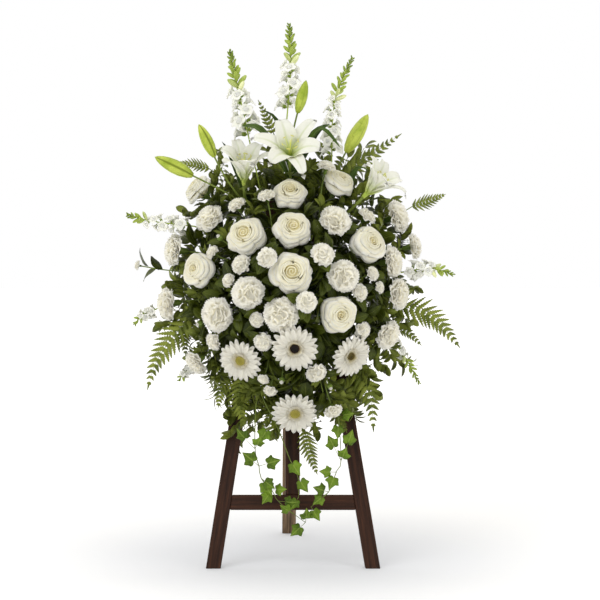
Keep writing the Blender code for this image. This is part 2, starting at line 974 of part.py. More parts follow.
def build_holder(root):
    """Foam block with a hole for each stem, tray behind it, and two straps round the lot."""
    foam_green = paint("wet_foam", (0.03, 0.10, 0.04), 0.95)
    tray_green = paint("tray_plastic", (0.02, 0.07, 0.03), 0.5)
    strap_green = paint("strap_plastic", (0.02, 0.06, 0.03), 0.4)
    half, low, high = FOAM.x / 2, FOAM_HEIGHT - FOAM.z / 2, FOAM_HEIGHT + FOAM.z / 2
    foam = mesh_object(
        "foam_block", foam_box((-half, FOAM_FRONT, low), (half, FOAM_BACK, high)), foam_green
    )
    cut(foam, [stem([inside, outside], radius + HOLE_CLEAR) for inside, outside, radius in HOLES])
    foam.parent = root

    wall, back = TRAY_WALL, FOAM_BACK + GAP
    tray = mesh_object(
        "foam_tray",
        foam_box(
            (-half - GAP - wall, FOAM_BACK - TRAY_RIM, low - GAP - wall),
            (half + GAP + wall, back + wall, high + GAP + wall),
        ),
        tray_green,
    )
    room = foam_box(
        (-half - GAP, FOAM_BACK - 2 * TRAY_RIM, low - GAP), (half + GAP, back, high + GAP)
    )
    cut(tray, [room])
    tray.parent = root

    for name, offset in zip(("strap_lower", "strap_upper"), STRAP_HEIGHTS):
        middle = FOAM_HEIGHT + offset
        bottom, top = middle - STRAP_WIDTH / 2, middle + STRAP_WIDTH / 2
        side = half + 2 * GAP + wall
        front, rear = FOAM_FRONT - GAP, LEG_DEPTH / 2 + GAP
        outer = foam_box(
            (-side - STRAP_THICK, front - STRAP_THICK, bottom),
            (side + STRAP_THICK, rear + STRAP_THICK, top),
        )
        strap = mesh_object(name, outer, strap_green)
        cut(strap, [foam_box((-side, front, bottom - wall), (side, rear, top + wall))])
        strap.parent = root


def build_roses(root):
    """Nine roses, each on its own stem."""
    cream = paint("rose_petal", (0.90, 0.86, 0.72), 0.6)
    for name, rose in ROSES.items():
        place, look = bloom_place(rose)
        radius = rose.radius * MM
        neck = place - look * radius * 0.95
        points = stem_path(rose.entry, neck, look, 3, ROSE_STEM, rose.reach)
        body = flower(points, ROSE_STEM, place, look, radius, ROSE_PROFILE, 10, 5)
        mesh_object(name, body, cream).parent = root


def build_gerberas(root):
    """Four gerberas: two rings of rays round a raised disc."""
    white = paint("gerbera_petal", (0.92, 0.92, 0.90), 0.6)
    for name, bloom in GERBERAS.items():
        place, look = bloom_place(bloom)
        radius = bloom.radius * MM
        neck = place - look * radius * 0.36
        points = stem_path(bloom.entry, neck, look, 3, GERBERA_STEM, bloom.reach)
        mesh_object(name, gerbera(points, place, look, radius), white).parent = root


def forked_stem(entry, fork, radius):
    """The short main stem of a branching one, where it forks, and its direction there."""
    mouth, out = foam_entry(*entry)
    HOLES.append((mouth - out * (STEM_DEPTH + GAP), mouth + out * GAP, radius))
    split = mouth + out * fork
    return stem([mouth - out * STEM_DEPTH, split + out * radius], radius), split, out


def clustered(entry, fork, blooms, main, twig, head):
    """Bodies of a branching stem with a head on each branch."""
    trunk, split, out = forked_stem(entry, fork, main)
    bodies = [trunk]
    for bloom in blooms:
        place, look = bloom_place(bloom)
        radius = bloom.radius * MM
        points = bend(split, out, place - look * radius * 0.9, look, 2, bloom.reach)
        bodies.append(head(points, twig, place, look, radius))
    return bodies


def carnation(points, twig, place, look, radius):
    """A large ruffled head on its branch."""
    return flower(points, twig, place, look, radius, CARNATION_PROFILE, 8, 4)


def spray_carnation(points, twig, place, look, radius):
    """A small ruffled head, or a closed bud where the head is small, on its branch."""
    if radius < BUD_RADIUS:
        return flower(points, twig, place, look, radius, BUD_PROFILE, 4, 0)
    return flower(points, twig, place, look, radius, MINI_PROFILE, 6, 3)


def build_carnations(root):
    """Large carnations in clusters, and spray carnations on branching stems."""
    white = paint("carnation_petal", (0.93, 0.93, 0.91), 0.7)
    for name, cluster in CARNATIONS.items():
        fuse(name, clustered(*cluster, 0.0030, 0.0024, carnation), white).parent = root
    for name, cluster in SPRAYS.items():
        fuse(name, clustered(*cluster, 0.0026, 0.0016, spray_carnation), white).parent = root


def spike(kind, split, out):
    """A stem, florets in alternate rows round it, then buds up to the tip."""
    start = seen(*kind.places[0], kind.depths[0])
    middle = seen(*kind.places[1], sum(kind.depths) / 2)
    tip = seen(*kind.places[2], kind.depths[1])
    florets = max(2, round((middle - start).length / FLORET_STEP))
    buds = max(2, round((tip - middle).length / TIP_STEP))
    spine = [start.lerp(middle, k / florets) for k in range(florets)]
    spine += [middle.lerp(tip, k / buds) for k in range(buds)]
    along = directions([*spine, tip])
    neck = start - along[0] * FLORET_STEP
    points = bend(split, out, neck, along[0], 3)
    rings, across = round_rings(points, [SNAPDRAGON_STEM] * len(points), STEM_SIDES)
    for k, point in enumerate(spine):
        across = (across - along[k] * across.dot(along[k])).normalized()
        other = along[k].cross(across)
        taper = 1 - max(0, k - florets + 1) / (buds + 1)
        body = kind.half_width * MM * (1.0 if k < florets else 0.62) * taper**0.7
        ring = []
        for corner in range(8):
            angle = math.pi * corner / 4
            wave = math.cos(4 * angle + math.pi * k)
            spread = (across * math.cos(angle) + other * math.sin(angle)) * body
            lift = along[k] * wave * FLORET_STEP * 0.25
            ring.append(point + spread * (0.78 + 0.30 * wave) + lift)
        rings.append(ring)
    return skin([*rings, [tip]])


def build_snapdragons(root):
    """Eight snapdragon spikes; the two at the lower left share a forked stem."""
    white = paint("snapdragon_floret", (0.90, 0.92, 0.86), 0.6)
    for name, (entry, spikes) in SNAPDRAGONS.items():
        trunk, split, out = forked_stem(entry, STEM_STRAIGHT, SNAPDRAGON_STEM)
        bodies = [trunk, *[spike(kind, split, out) for kind in spikes]]
        fuse(name, bodies, white).parent = root


# Rows along a petal: out from the axis, up, and half width, in parts of its length
LILY_PETAL = (
    (0.03, 0.0, 0.0),
    (0.20, 0.30, 0.15),
    (0.46, 0.58, 0.24),
    (0.76, 0.66, 0.18),
    (0.98, 0.50, 0.0),
)
LILY_NECK = 0.014


def lily_petal(place, look, side, length, open_by, outer):
    """One petal that leaves the throat towards a side and curls back at its tip."""
    points, widths = [], []
    for out, up, half in LILY_PETAL:
        out_open = out * open_by * (1.15 if outer else 0.92)
        rise = up + out * (1 - open_by) * 0.75 - (0.02 if outer else 0.0)
        points.append(place + (side * out_open + look * rise) * length)
        widths.append(half * length * (0.75 if outer else 1.0) * (0.6 + 0.4 * open_by))
    return lens_blade(points, widths, look * 0.6 - side, 0.0025, 0.25)


def build_lilies(root):
    """Three open lilies, and the green stems that carry them, their buds and their leaves."""
    white = paint("lily_petal", (0.93, 0.93, 0.90), 0.5)
    green = paint("lily_green", (0.10, 0.22, 0.05), 0.5)
    for name, (entry, spot, depth, facing, open_by, length) in LILIES.items():
        place = seen(*spot, depth)
        look = Vector(facing).normalized()
        neck = place - look * LILY_NECK
        across = look.orthogonal().normalized()
        bodies = [tube([neck, place + look * length * 0.10], [0.0045, 0.006], 6)]
        for k in range(6):
            side = Matrix.Rotation(math.pi * k / 3, 3, look) @ across
            bodies.append(lily_petal(place, look, side, length, open_by, k % 2))
            between = Matrix.Rotation(math.pi * k / 3 + 0.45, 3, look) @ across * open_by
            ends = [place + look * length * 0.08 + between * 0.003]
            ends.append(place + look * length * 0.70 + between * length * 0.2)
            bodies.append(tube(ends, [0.001, 0.0024], 3))
        fuse(name, bodies, white, "EXACT").parent = root

        points = stem_path(entry, neck - look * GAP * 4, look, 5, LILY_STEM)
        along = directions(points)
        bodies = [stem(points, LILY_STEM)]
        for share, base, tip, far in LILY_BUDS[name]:
            at = round(share * (len(points) - 1))
            base, tip = seen(*base, far), seen(*tip, far - 0.02)
            axis = (tip - base).normalized()
            path = bend(points[at], along[at], base, axis, 3)
            middle, half = (base + tip) / 2, (tip - base).length / 2
            bodies.append(flower(path, 0.0022, middle, axis, half, LILY_BUD_PROFILE, 6, 3))
        for share, bow, tip, far, half in LILY_LEAVES[name]:
            leave_at = points[round(share * (len(points) - 1))]
            bow, tip = seen(*bow, far), seen(*tip, far)
            path = [leave_at, leave_at.lerp(bow, 0.5) + Vector((0, 0, 0.006)), bow, tip]
            widths = [0, half * MM, half * MM * 0.8, 0]
            bodies.append(lens_blade(path, widths, Vector((0, -0.6, 0.8)), 0.002, 0.2))
        fuse(f"{name}_stem", bodies, green).parent = root


FROND_THICK = 0.0010
FROND_RIB = 0.0020


def frond(stalk, points, half, pairs, up):
    """A stalk and a thin frond cut to its rib in leaflets that get shorter to the tip."""
    path = smooth_path(points, pairs + 1)
    step = (path[1] - path[0]).length
    route = [*stalk[:-1], *path]
    along = directions(route)
    bm = bmesh.new()
    rows = []
    last = len(route) - 1
    for k, (point, ahead) in enumerate(zip(route, along)):
        side = ahead.cross(up).normalized()
        deep = side.cross(ahead) * (FERN_STEM if k < len(stalk) - 1 else FROND_THICK) / 2
        corners = ((-1, 1), (1, 1), (1, -1), (-1, -1))
        if k == last:
            rows.append([bm.verts.new(point)] * 4)
        else:
            rows.append(
                [bm.verts.new(point + side * FROND_RIB * sign + deep * face) for sign, face in corners]
            )
    bm.faces.new(list(reversed(rows[0])))
    for k, (here, there) in enumerate(zip(rows, rows[1:])):
        leaflets = k - len(stalk) + 1
        if leaflets >= 0:
            side = along[k].cross(up).normalized()
            share = leaflets / (pairs + 1)
            reach = half * min(1, 0.55 + 2.2 * share) * (1 - share) ** 0.75
            droop = side.cross(along[k]) * reach * 0.15
            for upper, lower, sign in ((0, 3, -1), (1, 2, 1)):
                end = route[k] + along[k] * step * 0.95 + side * sign * (FROND_RIB + reach)
                tip = bm.verts.new(end - droop)
                bm.faces.new((here[upper], tip, there[upper]))
                bm.faces.new((here[lower], there[lower], tip))
                bm.faces.new((here[upper], here[lower], tip))
                if k < last - 1:
                    bm.faces.new((tip, there[lower], there[upper]))
        sides = ((0, 1), (2, 3)) if leaflets >= 0 else ((0, 1), (1, 2), (2, 3), (3, 0))
        for a, b in sides:
            bm.faces.new(list(dict.fromkeys((here[a], here[b], there[b], there[a]))))
    bmesh.ops.triangulate(bm, faces=bm.faces)
    bmesh.ops.recalc_face_normals(bm, faces=bm.faces)
    return bm


def smooth_path(points, steps):
    """Evenly spaced points on a smooth curve through the given ones."""
    fine = []
    count = len(points)
    for i in range(count - 1):
        before, here = points[max(i - 1, 0)], points[i]
        there, beyond = points[i + 1], points[min(i + 2, count - 1)]
        pull_a, pull_b = (there - before) / 6, (beyond - here) / 6
        fine += list(interpolate_bezier(here, here + pull_a, there - pull_b, there, 13))[:-1]
    fine.append(points[-1])
    lengths = [0.0]
    for a, b in zip(fine, fine[1:]):
        lengths.append(lengths[-1] + (b - a).length)
    path, k = [], 0
    for i in range(steps + 1):
        want = lengths[-1] * i / steps
        while k < len(fine) - 2 and lengths[k + 1] < want:
            k += 1
        share = (want - lengths[k]) / max(lengths[k + 1] - lengths[k], 1e-9)
        path.append(fine[k].lerp(fine[k + 1], min(1.0, share)))
    return path


def build_ferns(root):
    """Fern fronds, two or three on each forked stalk."""
    green = paint("fern_green", (0.04, 0.13, 0.03), 0.6)
    up = Vector((0, -0.8, 0.6))
    for name, (entry, fork, fronds) in FERNS.items():
        trunk, split, out = forked_stem(entry, fork, FERN_STEM)
        bodies = [trunk]
        for places, depths, half, pairs in fronds:
            last = len(places) - 1
            points = [
                seen(*place, depths[0] + (depths[1] - depths[0]) * i / last)
                for i, place in enumerate(places)
            ]
            ahead = (points[1] - points[0]).normalized()
            stalk = bend(split, out, points[0], ahead, 2)
            bodies.append(frond(stalk, points, half * MM, pairs, up))
        fuse(name, bodies, green).parent = root


# Half of an ivy leaf's outline from its stalk to its tip: sideways and ahead of its middle, in
# parts of its size
IVY_OUTLINE = ((0.07, -0.40), (0.70, -0.55), (0.48, -0.05), (0.95, 0.22), (0.42, 0.38))
IVY_TIP = 1.10


def ivy_leaf(foot, middle, size, look):
    """A lobed leaf plate with its stalk, from its foot on the vine, with its face to look."""
    ahead = (middle - foot).normalized()
    look = (look - ahead * look.dot(ahead)).normalized()
    side = ahead.cross(look)
    bm = bmesh.new()
    top = bm.verts.new(middle + look * IVY_THICK / 2)
    bottom = bm.verts.new(middle - look * IVY_THICK / 2)
    outline = [bm.verts.new(foot)]
    half = [*IVY_OUTLINE, (0.0, IVY_TIP)]
    for x, y in half + [(-x, y) for x, y in reversed(IVY_OUTLINE)]:
        droop = look * size * 0.15 * (x**2 + y**2)
        outline.append(bm.verts.new(middle + (side * x + ahead * y) * size - droop))
    for i, corner in enumerate(outline):
        after = outline[(i + 1) % len(outline)]
        bm.faces.new((top, corner, after))
        bm.faces.new((bottom, after, corner))
    bmesh.ops.recalc_face_normals(bm, faces=bm.faces)
    return bm


def build_ivy(root):
    """Two ivy vines that hang below the blooms."""
    green = paint("ivy_green", (0.10, 0.28, 0.05), 0.45)
    for name, (entry, strands, leaves) in IVY.items():
        bodies, vines = [], []
        fork = None
        for strand in strands:
            points = [seen(*place, IVY_DEPTH) for place in strand]
            down = (points[1] - points[0]).normalized()
            if fork is None:
                lead = stem_path(entry, points[0], down, 5, 0.0018)
                fork = lead[-2]
            else:
                lead = bend(fork, down, points[0], down, 3)
            path = [*lead, *points[1:]]
            vines += path[2:]
            bodies.append(tube(path, [0.0018] * len(path), 4))
        for k, (across, up, size) in enumerate(leaves):
            spot = seen(across, up, IVY_DEPTH - 0.012)
            near = min(vines, key=lambda p: (p - spot).length)
            away, least = spot - near, size * MM
            if Vector((away.x, 0, away.z)).length < IVY_ASIDE * least:
                away = Vector((0.5 if k % 2 else -0.5, -0.35, -0.8)) * least
            if away.length < least:
                away = away.normalized() * least
            spot = near + away
            look = Vector((0.25 * math.sin(2.4 * k), -1, 0.25 * math.cos(1.7 * k)))
            bodies.append(ivy_leaf(near, spot, size * MM, look))
        fuse(name, bodies, green).parent = root


def tree_of(obj):
    """A search tree over an object's mesh, for finding what it touches."""
    bm = bmesh.new()
    bm.from_mesh(obj.data)
    tree = BVHTree.FromBMesh(bm)
    bm.free()
    return tree


GREEN_LEAF = (0.088, 0.022)
GREEN_LEAF_THICK = 0.0018
SIDE_LEAVES = 2
BEHIND_DOME = 0.025
SET_BACK = 0.012
SET_BACKS = 7
IN_FRONT = 0.15
TURNS = 8
GREEN_FORK = 0.035
GREEN_STEM = 0.0026
GREEN_TWIG = 0.0014
BLOOM_NAMES = ("rose", "gerbera", "carnations", "spray", "lily")


def leaf_rows(base, ahead, normal, scale):
    """Midrib points and half widths of one broad leaf that arches over towards its tip."""
    length, half = GREEN_LEAF[0] * scale, GREEN_LEAF[1] * scale
    points = [
        base + ahead * length * 0.33 + normal * length * 0.06,
        base + ahead * length * 0.70 + normal * length * 0.04,
        base + ahead * length - normal * length * 0.08,
    ]
    return points, [half, half * 0.78, 0]


def covers_bloom(body, blooms):
    """Whether a leaf stands in front of a bloom, for somebody in front of the easel."""
    for vert in body.verts:
        for bloom in blooms:
            if bloom.ray_cast(vert.co, vert.co - EYE, IN_FRONT)[0]:
                return True
    return False


def first_clear(candidates, solids, blooms):
    """The first candidate, a body with its path, that touches no solid and covers no bloom."""
    for body, path in candidates:
        tree = BVHTree.FromBMesh(body)
        if any(tree.overlap(other) for other in solids):
            continue
        if not covers_bloom(body, blooms):
            return body, path
    return None, None


def leaf_turns(grow, order, spread):
    """Directions of a leaf that leaves a twig: turned round it, and shorter, at each try."""
    for turn in range(TURNS):
        roll = 2.4 * order + 2 * math.pi * turn / TURNS
        side = Matrix.Rotation(roll, 3, grow) @ grow.orthogonal().normalized()
        ahead = (grow + side * spread).normalized()
        normal = (grow - ahead * grow.dot(ahead)).normalized()
        yield ahead, normal, 1 - 0.1 * (turn % 4)


def side_leaves(base, grow, order):
    """Candidates for one leaf beside a twig."""
    for ahead, normal, scale in leaf_turns(grow, order, 1.8):
        points, widths = leaf_rows(base, ahead, normal, scale)
        leaf = lens_blade([base, *points], [0, *widths], normal, GREEN_LEAF_THICK, 0.15)
        yield leaf, [base, *points]


def leafy_twigs(split, out, spot, order):
    """Candidates for a twig that ends in a leaf, in one skin, set further back at each try."""
    for back in range(SET_BACKS):
        end = seen(*spot, dome_depth(*spot) + BEHIND_DOME + SET_BACK * back)
        path = bend(split, out, end, (end - FOCUS).normalized(), 3)
        for ahead, normal, scale in leaf_turns((path[-1] - path[-2]).normalized(), order, 0.9):
            points, widths = leaf_rows(end, ahead, normal, scale)
            halves = [GREEN_TWIG] * len(path) + widths
            thicks = [2 * GREEN_TWIG] * len(path) + [GREEN_LEAF_THICK] * len(points)
            yield lens_blade([*path, *points], halves, normal, thicks, 0.15), path


def build_greens(root, solids, blooms):
    """Broad dark leaves on forked twigs; each takes the first place that clears all else."""
    green = paint("broad_leaf", (0.02, 0.07, 0.02), 0.4)
    for name, (entry, spots) in GREENS.items():
        trunk, split, out = forked_stem(entry, GREEN_FORK, GREEN_STEM)
        bodies, own = [trunk], []
        for t, spot in enumerate(spots):
            twig, path = first_clear(leafy_twigs(split, out, spot, t), solids, blooms)
            if not twig:
                continue
            bodies.append(twig)
            grow = (path[-1] - path[-2]).normalized()
            for k in range(SIDE_LEAVES):
                base = path[-1].lerp(path[-2], 0.2 + 0.4 * k)
                candidates = side_leaves(base, grow, k + 3 * t)
                leaf, _ = first_clear(candidates, solids + own, blooms)
                if leaf:
                    bodies.append(leaf)
                    own.append(BVHTree.FromBMesh(leaf))
        obj = fuse(name, bodies, green)
        obj.parent = root
        solids.append(tree_of(obj))


def main():
    """Builds the whole spray."""
    for obj in list(bpy.data.objects):
        bpy.data.objects.remove(obj)
    root = empty("spray_origin", ORIGIN_SHIFT)
    build_roses(root)
    build_gerberas(root)
    build_carnations(root)
    build_snapdragons(root)
    build_lilies(root)
    build_ferns(root)
    build_ivy(root)
    meshes = [obj for obj in bpy.data.objects if obj.type == "MESH"]
    blooms = [tree_of(obj) for obj in meshes if obj.name.startswith(BLOOM_NAMES)]
    build_greens(root, [tree_of(obj) for obj in meshes], blooms)
    build_easel(root)
    build_holder(root)


main()
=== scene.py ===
"""Standing funeral spray of white flowers on a folding wooden easel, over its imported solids.

Flowers are placed by millimetres across and up, as somebody standing in front of the easel sees
them in the upright plane of the front feet. Plan.seen slides such a place to its real depth.
"""

import sys
import logging
import random
from dataclasses import dataclass, field
from enum import Enum
from math import acos, ceil, cos, hypot, pi, radians, sin, sqrt, tau
from typing import Callable, Iterable, Iterator, Optional, Sequence

import bmesh
import bpy
from mathutils import Matrix, Vector
from mathutils.bvhtree import BVHTree
from mathutils.geometry import interpolate_bezier


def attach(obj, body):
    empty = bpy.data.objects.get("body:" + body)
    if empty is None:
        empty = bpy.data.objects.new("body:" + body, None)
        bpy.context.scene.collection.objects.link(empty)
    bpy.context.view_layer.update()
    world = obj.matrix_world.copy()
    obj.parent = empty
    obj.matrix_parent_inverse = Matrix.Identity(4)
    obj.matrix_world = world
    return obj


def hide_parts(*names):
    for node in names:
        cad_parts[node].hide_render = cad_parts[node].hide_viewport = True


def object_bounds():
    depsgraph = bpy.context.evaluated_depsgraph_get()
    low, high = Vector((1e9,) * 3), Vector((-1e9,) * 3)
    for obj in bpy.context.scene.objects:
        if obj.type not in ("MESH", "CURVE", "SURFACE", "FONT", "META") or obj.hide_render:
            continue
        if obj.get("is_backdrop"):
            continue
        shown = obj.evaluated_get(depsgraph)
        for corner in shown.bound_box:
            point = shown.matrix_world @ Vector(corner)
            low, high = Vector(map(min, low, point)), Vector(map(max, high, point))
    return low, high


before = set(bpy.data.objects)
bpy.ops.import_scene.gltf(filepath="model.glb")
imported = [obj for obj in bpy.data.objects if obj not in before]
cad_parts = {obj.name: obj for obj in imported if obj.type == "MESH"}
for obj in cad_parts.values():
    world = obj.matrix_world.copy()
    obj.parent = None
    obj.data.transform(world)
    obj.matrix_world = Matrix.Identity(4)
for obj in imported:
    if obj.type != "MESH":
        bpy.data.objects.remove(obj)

CAD_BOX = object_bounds()
LOG = logging.getLogger("spray")
MM = 0.001
GOLDEN = pi * (3 - sqrt(5))
TURN, QUARTER = (0.0, 6.28), 1.57
UP = Vector((0, 0, 1))
Place = tuple[float, float]
Sheet = Callable[[float, float], Vector]


def mix(low: float, high: float, share: float) -> float:
    """Mixes two numbers; share 0 gives low and 1 gives high."""
    return low + (high - low) * share


def ramp(value: float, start: float, end: float) -> float:
    """Smooth step from 0 at start to 1 at end."""
    share = min(1.0, max(0.0, (value - start) / (end - start)))
    return share * share * (3 - 2 * share)


class Plan:
    """Where things are: the lines of sight, the leaning front frame and the foam."""

    ORIGIN = Vector((-0.004, -0.167, 0.0))
    EYE = Vector((-0.09, -4.0, 0.79))
    LEAN = radians(12)
    REAR_ANGLE = radians(17)
    LEG_SPLAY = 0.155
    FOAM = Vector((0.260, 0.090, 0.120))
    FOAM_HEIGHT = 0.69
    FOAM_FRONT = -0.1036
    STEM_DEPTH = 0.035
    STEM_STRAIGHT = 0.018
    DOME_MIDDLE = (0.0, 0.67)
    DOME_HALF = (0.31, 0.33)
    DOME_FRONT = -0.14
    DOME_FALL_UP = 0.20
    DOME_FALL_DOWN = 0.11
    FOCUS = Vector((0.0, 0.13, 0.66))
    OPEN_HEAD = 30
    TURN_TO_FRONT = 0.6

    @classmethod
    def seen(cls, across: float, up: float, depth: float) -> Vector:
        """The point at this depth that covers the place (across, up) in millimetres."""
        stretch = (depth - cls.EYE.y) / -cls.EYE.y
        x = cls.EYE.x + (across * MM - cls.EYE.x) * stretch
        z = cls.EYE.z + (up * MM - cls.EYE.z) * stretch
        return Vector((x, depth, z))

    @classmethod
    def dome_depth(cls, across: float, up: float) -> float:
        """How far behind the front feet the dome of blooms lies at a seen place."""
        side = (across * MM - cls.DOME_MIDDLE[0]) / cls.DOME_HALF[0]
        rise = (up * MM - cls.DOME_MIDDLE[1]) / cls.DOME_HALF[1]
        fall = cls.DOME_FALL_UP if rise > 0 else cls.DOME_FALL_DOWN
        return cls.DOME_FRONT + cls.DOME_FALL_UP * side**2 + fall * rise**2

    @classmethod
    def frame_point(cls, u: float, v: float, w: float) -> Vector:
        """A point of the leaning frame: u across, v behind its middle plane, w up along it."""
        c, s = cos(cls.LEAN), sin(cls.LEAN)
        return Vector((u, v * c + w * s, w * c - v * s))

    @classmethod
    def foam_entry(cls, face: str, a: float, b: float) -> tuple[Vector, Vector]:
        """Where a stem enters the foam and the direction out of that face.

        Args:
            face: front, top, bottom, left or right.
            a: millimetres across, or up on the sides.
            b: millimetres up on the front, or behind the front on the other faces.

        Returns:
            The mouth of the hole and the way out of it.
        """
        a, b = a * MM, b * MM
        if face == "front":
            mouth = cls.frame_point(a, cls.FOAM_FRONT, cls.FOAM_HEIGHT + b)
            return mouth, cls.frame_point(0, -1, 0)
        sign = 1 if face in ("top", "right") else -1
        if face in ("top", "bottom"):
            mouth = cls.frame_point(a, cls.FOAM_FRONT + b, cls.FOAM_HEIGHT + sign * cls.FOAM.z / 2)
            return mouth, cls.frame_point(0, 0, sign)
        mouth = cls.frame_point(sign * cls.FOAM.x / 2, cls.FOAM_FRONT + b, cls.FOAM_HEIGHT + a)
        return mouth, Vector((sign, 0, 0))


def bend(
    start: Vector, leave: Vector, end: Vector, arrive: Vector, steps: int, reach: float = 0.4
) -> list[Vector]:
    """Points of a smooth curve that leaves start one way and arrives at end another way."""
    pull = (end - start).length * reach
    return interpolate_bezier(start, start + leave * pull, end - arrive * pull, end, steps + 1)


def smooth_path(points: Sequence[Vector], steps: int) -> list[Vector]:
    """Evenly spaced points on a smooth curve through the given ones."""
    fine: list[Vector] = []
    between = 12
    count = len(points)
    for i in range(count - 1):
        before, here = points[max(i - 1, 0)], points[i]
        there, beyond = points[i + 1], points[min(i + 2, count - 1)]
        pull_a, pull_b = (there - before) / 6, (beyond - here) / 6
        arc = interpolate_bezier(here, here + pull_a, there - pull_b, there, between + 1)
        fine += arc[:-1]
    fine.append(points[-1])
    lengths = [0.0]
    for a, b in zip(fine, fine[1:]):
        lengths.append(lengths[-1] + (b - a).length)
    path, k = [], 0
    for i in range(steps + 1):
        want = lengths[-1] * i / steps
        while k < len(fine) - 2 and lengths[k + 1] < want:
            k += 1
        share = (want - lengths[k]) / max(lengths[k + 1] - lengths[k], 1e-9)
        path.append(fine[k].lerp(fine[k + 1], min(1.0, share)))
    return path


def directions(points: Sequence[Vector]) -> list[Vector]:
    """Unit direction of a path at each of its points."""
    last = len(points) - 1
    return [
        (points[min(i + 1, last)] - points[max(i - 1, 0)]).normalized() for i in range(last + 1)
    ]


def stem_path(entry: tuple, end: Vector, arrive: Vector, reach: float = 0.4) -> list[Vector]:
    """A stem's points from the bottom of its hole in the foam to its end."""
    mouth, out = Plan.foam_entry(*entry)
    start = mouth + out * Plan.STEM_STRAIGHT
    return [mouth - out * Plan.STEM_DEPTH, *bend(start, out, end, arrive, 12, reach)]


def forked_stem(entry: tuple, fork: float, radius: float) -> tuple[Vector, Vector, list]:
    """Where a stem forks, at a distance from the foam, its way out, and its trunk as a rod."""
    mouth, out = Plan.foam_entry(*entry)
    split = mouth + out * fork
    return split, out, [([mouth - out * Plan.STEM_DEPTH, mouth, split], radius, radius)]


def on_row(rows: int, t: float) -> tuple[int, float]:
    """The row that a share t of all rows falls in, and the share within it."""
    row = min(rows - 1, int(t * rows + 1e-6))
    return row, t * rows - row


def on_path(path: Sequence[Vector], t: float) -> tuple[Vector, int, float]:
    """The point at a share t along a path, the step that it lies in, and the share within it."""
    step, share = on_row(len(path) - 1, t)
    return path[step].lerp(path[step + 1], share), step, share


def on_profile(profile: Sequence[Place], t: float) -> Place:
    """Radius and height at a share t along a profile."""
    row, share = on_row(len(profile) - 1, t)
    (r, z), (next_r, next_z) = profile[row : row + 2]
    return mix(r, next_r, share), mix(z, next_z, share)


def link_object(name: str, data: object) -> bpy.types.Object:
    """A new object in the scene for a mesh, curve, light or camera."""
    obj = bpy.data.objects.new(name, data)
    bpy.context.scene.collection.objects.link(obj)
    return obj


def hash_name(name: str) -> int:
    """A number from a name, the same at each run."""
    return sum(ord(letter) * (i + 3) for i, letter in enumerate(name))


@dataclass(frozen=True)
class Stance:
    """How a flower head stands: its middle, where it looks, and two directions across that."""

    place: Vector
    look: Vector
    side: Vector
    over: Vector

    @classmethod
    def facing(cls, place: Vector, look: Vector, side: Optional[Vector] = None) -> "Stance":
        """A stance with its side direction level unless one is given."""
        look = look.normalized()
        side = side or look.cross(UP)
        if side.length < 0.1:
            side = Vector((1, 0, 0))
        side = (side - look * side.dot(look)).normalized()
        return cls(place, look, side, side.cross(look) * -1)

    def at(self, x: float, y: float, z: float) -> Vector:
        """The point x along side, y along over and z along look from the middle."""
        return self.place + self.side * x + self.over * y + self.look * z

    def polar(self, angle: float, r: float, z: float) -> Vector:
        """The point at a turn and distance round the look direction, z along it."""
        return self.at(r * cos(angle), r * sin(angle), z)


@dataclass(frozen=True)
class Bloom:
    """A flower head: where it is seen, its radius, and how it stands."""

    spot: Place
    radius: float
    entry: Optional[tuple] = None
    facing: Optional[tuple] = None
    forward: float = 0
    reach: float = 0.4

    def stance(self) -> Stance:
        """Middle of the head and the direction that it looks in."""
        place = Plan.seen(*self.spot, Plan.dome_depth(*self.spot) - self.forward * MM)
        look = Vector(self.facing) if self.facing else place - Plan.FOCUS
        if not self.facing and self.radius > Plan.OPEN_HEAD:
            look = look.normalized() + Vector((0, -Plan.TURN_TO_FRONT, 0))
        return Stance.facing(place, look)


@dataclass(frozen=True)
class Spike:
    """A snapdragon: seen places where florets start, where buds start, and its tip."""

    places: tuple
    depths: tuple
    half_width: float


